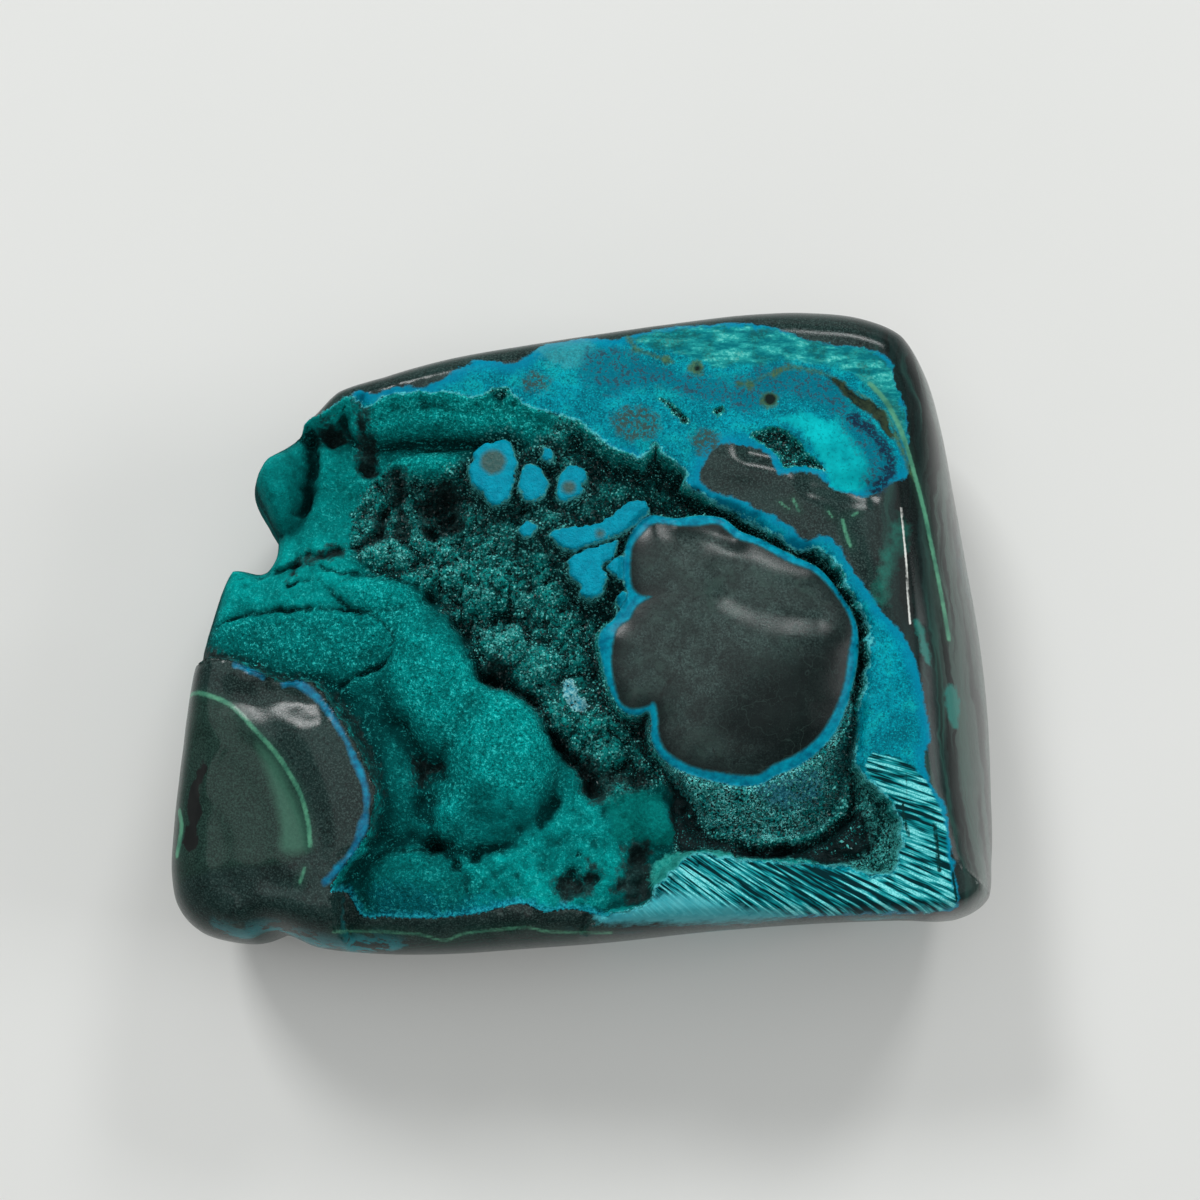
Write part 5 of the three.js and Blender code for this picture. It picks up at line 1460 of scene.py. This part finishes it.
def nodule_polish(g, grains, surface):
    """Smooth green-black malachite of the big nodule: paler mottling on its left that also paints in part of
    its sheen, painted shade on its lower right, and a satin polish.
    """
    # Paler mottling, partly a painted sheen.
    pale = g.inside("pale_and_sheen_heart", grains.coarse, 1.4, 2.6)
    freckle = g.product(pale, g.ramp(grains.fine, 0.40, 0.62, 0.25, 0.9))
    surface.lay(freckle, g.mix(g.ramp(grains.micro, 0.4, 0.6), (0.010, 0.026, 0.024), (0.052, 0.092, 0.084)))
    surface.lay(g.product(g.ramp(grains.mottle, 0.44, 0.56, 0.7, 0.0), 0.8), (0.004, 0.012, 0.011))
    clouds = g.product(g.ramp(grains.cloud, 0.50, 0.60), g.ramp(grains.coarse, 0.45, 0.6), 0.6)
    surface.lay(clouds, (0.030, 0.066, 0.056))
    surface.lay(g.ramp(g.attribute("nodule"), 0.4, 2.6, 0.7, 0.0), (0.003, 0.008, 0.008))
    # Painted shade on the lower right.
    shade = g.product(g.inside("shaded_heart", grains.coarse, 1.2, 3.0), 0.85)
    surface.lay(shade, (0.0020, 0.006, 0.006))
    for grain, width in ((grains.cloud, 0.006), (grains.mottle, 0.007)):
        crack = g.math("ABSOLUTE", g.math("SUBTRACT", grain, 0.5))
        surface.lay(g.ramp(crack, 0.0, width, 0.6, 0.0), (0.026, 0.050, 0.044))
    seams = g.product(g.inside("lobe_line", grains.fine, 0.3, 0.2), g.ramp(grains.coarse, 0.4, 0.6), 0.7)
    surface.lay(seams, (0.002, 0.005, 0.005))
    surface.roughness = g.ramp(grains.fine, 0.3, 0.7, 0.24, 0.34)
    surface.gloss = g.blend(shade, 0.3, 0.12)


def big_nodule(g, grains, surface, dark):
    """The big dark nodule in its blue rim, with the granular skirt in front of it."""
    grain = g.ramp(grains.fine, 0.48, 0.54)
    slate = g.mix(grain, (0.0006, 0.010, 0.011), (0.0020, 0.240, 0.240))
    pale = g.product(g.ramp(grains.micro, 0.51, 0.57), g.ramp(grains.mottle, 0.40, 0.50))
    slate = g.mix(pale, slate, (0.200, 0.740, 0.720))
    grey = g.product(g.inside("skirt_grey", grains.coarse, 1.0, 0.6), 0.8)
    slate = g.mix(grey, slate, g.mix(grain, (0.008, 0.130, 0.185), (0.050, 0.250, 0.330)))
    # Painted shade on the skirt's right-hand part.
    shade = g.product(g.inside("skirt_shade", grains.coarse, 0.6, 1.2), 0.8)
    slate = g.mix(shade, slate, (0.0010, 0.030, 0.032))
    surface.lay(g.inside("skirt", grains.fine, 0.4, 0.1), slate, 0.6, 0.12)
    fringe = g.product(g.inside("rim", grains.fine, 0.3, 0.12, shift=0.22), g.ramp(grains.coarse, 0.42, 0.6))
    surface.lay(g.product(fringe, 0.6), (0.060, 0.380, 0.400), 0.5)
    blue = g.mix(g.ramp(grains.coarse, 0.35, 0.65), (0.0006, 0.150, 0.250), (0.0010, 0.330, 0.470))
    surface.lay(g.inside("rim", grains.fine, 0.15, 0.15), blue, 0.3, 0.06)
    bevel = g.product(g.inside("nodule", grains.fine, 0.1, 0.15, shift=0.25), 0.8)
    surface.lay(bevel, g.mix(grains.coarse, (0.006, 0.022, 0.020), (0.030, 0.080, 0.062)))
    surface.cover(g.inside("nodule", grains.fine, 0.1, 0.1), dark)


def azure_veins(g, grains, surface):
    azure = g.mix(g.ramp(grains.coarse, 0.35, 0.65), (0.0006, 0.100, 0.200), (0.0008, 0.260, 0.430))
    surface.lay(g.inside("blue_vein", grains.mottle, 0.4, 0.25), azure, 0.3)


def fine_relief(g, grains, zone):
    """Height in millimetres: pile on the velvet, small crystals on the druse, faint grain in the polish."""
    polish = g.math("MULTIPLY", grains.micro, 0.015)
    if zone in ("polish", "nodule"):
        return polish
    pile = g.math("ADD", g.math("MULTIPLY", grains.micro, 0.16), g.math("MULTIPLY", grains.fine, 0.24))
    crystals = g.math("MULTIPLY", grains.fine, 0.40)
    rough = g.blend(g.ramp(g.attribute("velvet"), -0.5, 0.5), crystals, pile)
    if zone == "crust":
        return rough
    open_crust = g.ramp(g.attribute("crust"), -0.1, 0.1)
    open_crust = g.product(open_crust, g.ramp(g.attribute("rim"), -0.1, 0.0, 1.0, 0.0))
    return g.blend(open_crust, polish, rough)


def polished_surface(g, grains):
    surface = malachite(g, grains)
    side_bands(g, grains, surface)
    ridge_streaks(g, grains, surface)
    field = blue_field(g, grains, surface)
    aqua_zones(g, grains, surface, field)
    blue_markings(g, grains, surface)
    striated_corner(g, grains, surface, field)
    left_nodule(g, grains, surface)
    return surface


def nodule_surface(g, grains):
    surface = malachite(g, grains)
    nodule_polish(g, grains, surface)
    return surface


def rough_surface(g, grains):
    surface = crust(g, grains)
    islets_and_basin(g, grains, surface)
    return surface


def meeting_surface(g, grains):
    """Everything at once: for where the kinds of surface meet, and for the skirt and rim of the nodule."""
    surface = polished_surface(g, grains)
    surface.cover(g.inside("crust", grains.fine, 0.25, 0.05), rough_surface(g, grains))
    surface.cover(g.inside("pockets", grains.fine, 0.25, 0.05), druse(g, grains))
    crust_edge(g, grains, surface)
    big_nodule(g, grains, surface, nodule_surface(g, grains))
    return surface


# The stone's materials, one for each zone, in the order of their slots.
ZONES = {
    "meeting": meeting_surface,
    "polish": polished_surface,
    "crust": rough_surface,
    "nodule": nodule_surface,
}
MEETING_REACH = 0.9    # the kinds of surface reach into each other by less than this


def zone_of_vertices(marks):
    """Slot of the zone that each vertex lies deep inside, or of the meeting zone."""
    def deep(*names):
        return np.logical_and.reduce([marks[name] > MEETING_REACH for name in names])

    def clear(*names):
        return np.logical_and.reduce([marks[name] < -MEETING_REACH for name in names])

    share = {
        "polish": clear("crust", "wall", "pockets", "skirt", "rim"),
        "crust": clear("pockets", "skirt", "rim") & deep("crust", "wall"),
        "nodule": clear("pockets") & deep("nodule"),
    }
    slots = list(ZONES)
    return sum(slots.index(name) * inside for name, inside in share.items())


def zone_of_faces(faces, zones):
    """A face takes its corners' zone, or the meeting zone where they differ."""
    corners = zones[faces]
    return np.where((corners == corners[:, :1]).all(axis=1), corners[:, 0], 0)


def stone_material(zone):
    g = Graph("stone_" + zone)
    grains = Grains(g)
    surface = ZONES[zone](g, grains)
    azure_veins(g, grains, surface)
    return g.finish(surface, fine_relief(g, grains, zone))


def make_stone(stone):
    vertices = stone.vertices()
    obj = build_mesh("stone", in_frame(vertices), [*stone.faces, stone.base_fan])
    marks = marking_distances(vertices, stone.top)
    for name, values in marks.items():
        store(obj, name, values)
    for zone in ZONES:
        obj.data.materials.append(stone_material(zone))
    zones = zone_of_vertices(marks)
    slots = np.concatenate([zone_of_faces(faces, zones) for faces in (*stone.faces, stone.base_fan)])
    obj.data.polygons.foreach_set("material_index", slots.astype(np.int32))
    # The sides have no such relief: noise stands in for their crowns.
    x, y, z = vertices[len(stone.crown):].T
    flat = np.zeros(len(x))
    store(obj, "crown", np.concatenate([stone.crown, 2.2 * fractal(x + y, z, 5, seed=98) - 0.6]))
    store(obj, "crease", np.concatenate([stone.crease, flat]))
    store(obj, "swell", np.concatenate([stone.swell, flat]))
    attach(obj, "root")
    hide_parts("specimen")


# ---- Crystals ----
CRYSTALS = 11000
CRYSTAL_WIDTHS = (0.10, 0.26)      # half widths, in millimetres
CRYSTAL_STRETCH = (1.1, 2.2)       # half lengths as multiples of the half width
CRYSTAL_LEAN = 0.55                # how far their axes are strewn from straight out
# Corners of a crystal's faces: 0 to 3 go round its middle, 4 is the outer tip and 5 the buried one.
CRYSTAL_FACES = [(0, 1, 4), (1, 2, 4), (2, 3, 4), (3, 0, 4), (1, 0, 5), (2, 1, 5), (3, 2, 5), (0, 3, 5)]
CRYSTAL_CORNERS = 6


def crystal_share(top):
    """How likely each place of the top is to carry a crystal. The places' shares add up to 1."""
    x, y = top.x, top.y
    bare = smooth_step(0.5, 1.5, top.hollow) * smooth_step(0.4, -0.8, top.velvet)
    bare = bare * smooth_step(0, -0.6, top.islet) * smooth_step(0, -0.5, top.rim)
    bare = np.maximum(bare, smooth_step(0.2, 0.8, top.pockets))
    bare = np.maximum(bare, smooth_step(0.3, 1.0, top.skirt) * smooth_step(-0.1, -0.6, top.rim))
    smooth = inside_any(x, y, [*LIGHT_PATCHES, PLASTER, WHITE_CRUST, BASIN])
    patchy = smooth_step(-0.6, 0.4, noise(x, y, 2.4, seed=101))
    likely = bare * (0.25 + 0.75 * patchy) * mix(1, 0.15, smooth_step(-0.4, 0.4, smooth))
    return likely / likely.sum()


def strewn_crystals(stone, random):
    """Places, outward directions and brightness of the crystals."""
    chosen = random.choice(stone.top.x.size, CRYSTALS, p=crystal_share(stone.top))
    grid = stone.rings[0].reshape(*stone.shape, 3)
    across, along = (np.gradient(grid, axis=axis).reshape(-1, 3)[chosen] for axis in (0, 1))
    out = np.cross(across, along)
    out *= np.sign(out[:, 2:]) / np.linalg.norm(out, axis=1, keepdims=True)
    shift = random.uniform(-0.5, 0.5, (2, CRYSTALS, 1))
    place = stone.rings[0][chosen] + shift[0] * across + shift[1] * along
    # Paler on the crowns, as painted light; darker in the black zones of the crust.
    tone = 0.42 + 0.3 * stone.crown[chosen] + 0.25 * random.standard_normal(CRYSTALS)
    tone *= mix(1, 0.3, smooth_step(-0.6, 0.4, stone.top.black[chosen]))
    return place, out, np.clip(tone, 0, 1)


def make_crystals(stone):
    """Eight-sided grains, each leaning its own way and half sunk in the crust."""
    random = np.random.default_rng(SEED)
    place, out, tone = strewn_crystals(stone, random)
    axis = out + CRYSTAL_LEAN * random.standard_normal(out.shape)
    axis /= np.linalg.norm(axis, axis=1, keepdims=True)
    side = np.cross(axis, random.standard_normal(out.shape))
    side /= np.linalg.norm(side, axis=1, keepdims=True)
    width = random.uniform(*CRYSTAL_WIDTHS, (CRYSTALS, 1))
    tip = axis * width * random.uniform(*CRYSTAL_STRETCH, (CRYSTALS, 1))
    side, other = side * width, np.cross(axis, side) * width
    corners = np.stack([place + step for step in (side, other, -side, -other, tip, -tip)], axis=1)
    faces = (np.arange(CRYSTALS)[:, None, None] * CRYSTAL_CORNERS + np.array(CRYSTAL_FACES)).reshape(-1, 3)
    obj = build_mesh("crystals", in_frame(corners.reshape(-1, 3)), [faces], smooth=False)
    store(obj, "tone", np.repeat(tone, CRYSTAL_CORNERS))
    obj.data.materials.append(crystal_material())
    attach(obj, "root")


def crystal_material():
    """Teal crystals, from nearly black to pale, with glossy faces."""
    g = Graph("druse_crystals")
    grains = Grains(g)
    tone = g.attribute("tone")
    colour = g.mix(g.ramp(tone, 0.1, 0.6), (0.0008, 0.018, 0.018), (0.0012, 0.200, 0.190))
    colour = g.mix(g.ramp(tone, 0.6, 0.95), colour, (0.110, 0.620, 0.580))
    colour = g.mix(g.ramp(grains.micro, 0.36, 0.60, 0.6, 0.0), colour, (0.0008, 0.060, 0.058))
    surface = Surface(g, colour, g.ramp(grains.fine, 0.3, 0.7, 0.22, 0.5), 0.4)
    return g.finish(surface, g.math("MULTIPLY", grains.micro, 0.03))


# ---- Floor, lights and camera ----
FLOOR_HALF_WIDTH = 3.0    # in metres, as the lights' distances and sizes are


def floor_material():
    g = Graph("pale_floor")
    cloud = g.noise(60.0, 3.0, 0.5)
    return g.finish(Surface(g, g.mix(cloud, (0.765, 0.775, 0.755), (0.795, 0.80, 0.785)), 0.6, 0.2))


def make_floor():
    reach = FLOOR_HALF_WIDTH
    mesh = bpy.data.meshes.new("floor")
    corners = [(-reach, -reach, 0), (reach, -reach, 0), (reach, reach, 0), (-reach, reach, 0)]
    mesh.from_pydata(corners, [], [(0, 1, 2, 3)])
    floor = bpy.data.objects.new("floor", mesh)
    bpy.context.scene.collection.objects.link(floor)
    mesh.materials.append(floor_material())


def aim(obj, place, target):
    place, target = Vector(place), Vector(target)
    obj.location = place
    obj.rotation_euler = (target - place).to_track_quat("-Z", "Y").to_euler()


def soft_box(name, tilt, heading, distance, size, brightness):
    """A lit rectangle, tilt degrees from overhead towards a heading in degrees anticlockwise from +X."""
    light = bpy.data.lights.new(name, "AREA")
    light.shape = "RECTANGLE"
    light.size, light.size_y = size
    light.energy = brightness * math.pi * size[0] * size[1]
    obj = bpy.data.objects.new(name, light)
    bpy.context.scene.collection.objects.link(obj)
    tilt, heading = math.radians(tilt), math.radians(heading)
    flat = math.sin(tilt) * distance
    aim(obj, (flat * math.cos(heading), flat * math.sin(heading), math.cos(tilt) * distance), (0, 0, 0))


# Lights: name, tilt, heading, distance, size, brightness.
SOFT_BOXES = [
    ("ceiling", 4, 120, 2.3, (2.6, 2.6), 0.80),
    ("window_back_left", 47, 121, 2.3, (0.56, 0.46), 24.0),
    ("window_back_right", 52, 65, 2.3, (0.50, 0.40), 18.0),
    ("window_right", 60, 0, 2.4, (0.9, 1.2), 4.0),
    ("front_fill", 50, -100, 2.4, (1.4, 0.8), 0.15),
]


def light_scene():
    for box in SOFT_BOXES:
        soft_box(*box)
    world = bpy.data.worlds.new("studio")
    bpy.context.scene.world = world
    world.use_nodes = True
    world.node_tree.nodes["Background"].inputs["Color"].default_value = (0.98, 1.0, 0.99, 1)
    world.node_tree.nodes["Background"].inputs["Strength"].default_value = 0.24
    bpy.context.scene.view_settings.view_transform = "Standard"


CAMERA_LENS = 55
CAMERA_TILT = math.radians(10)    # from straight down
CAMERA_DISTANCE = 256.7
AIM_POINT = (2.4, 1.5, 42)        # in the outlines' own coordinates


def make_camera():
    data = bpy.data.cameras.new("camera")
    data.lens = CAMERA_LENS
    data.clip_start = 0.01
    camera = bpy.data.objects.new("camera", data)
    bpy.context.scene.collection.objects.link(camera)
    target = (np.array(AIM_POINT) - np.array([*FOOTPRINT_MIDDLE, 0])) * MM
    back = np.array([0, -math.sin(CAMERA_TILT), math.cos(CAMERA_TILT)]) * CAMERA_DISTANCE * MM
    aim(camera, target + back, target)
    bpy.context.scene.camera = camera


make_camera()
stone = Stone()
make_stone(stone)
make_crystals(stone)
make_floor()
light_scene()

bpy.context.view_layer.update()
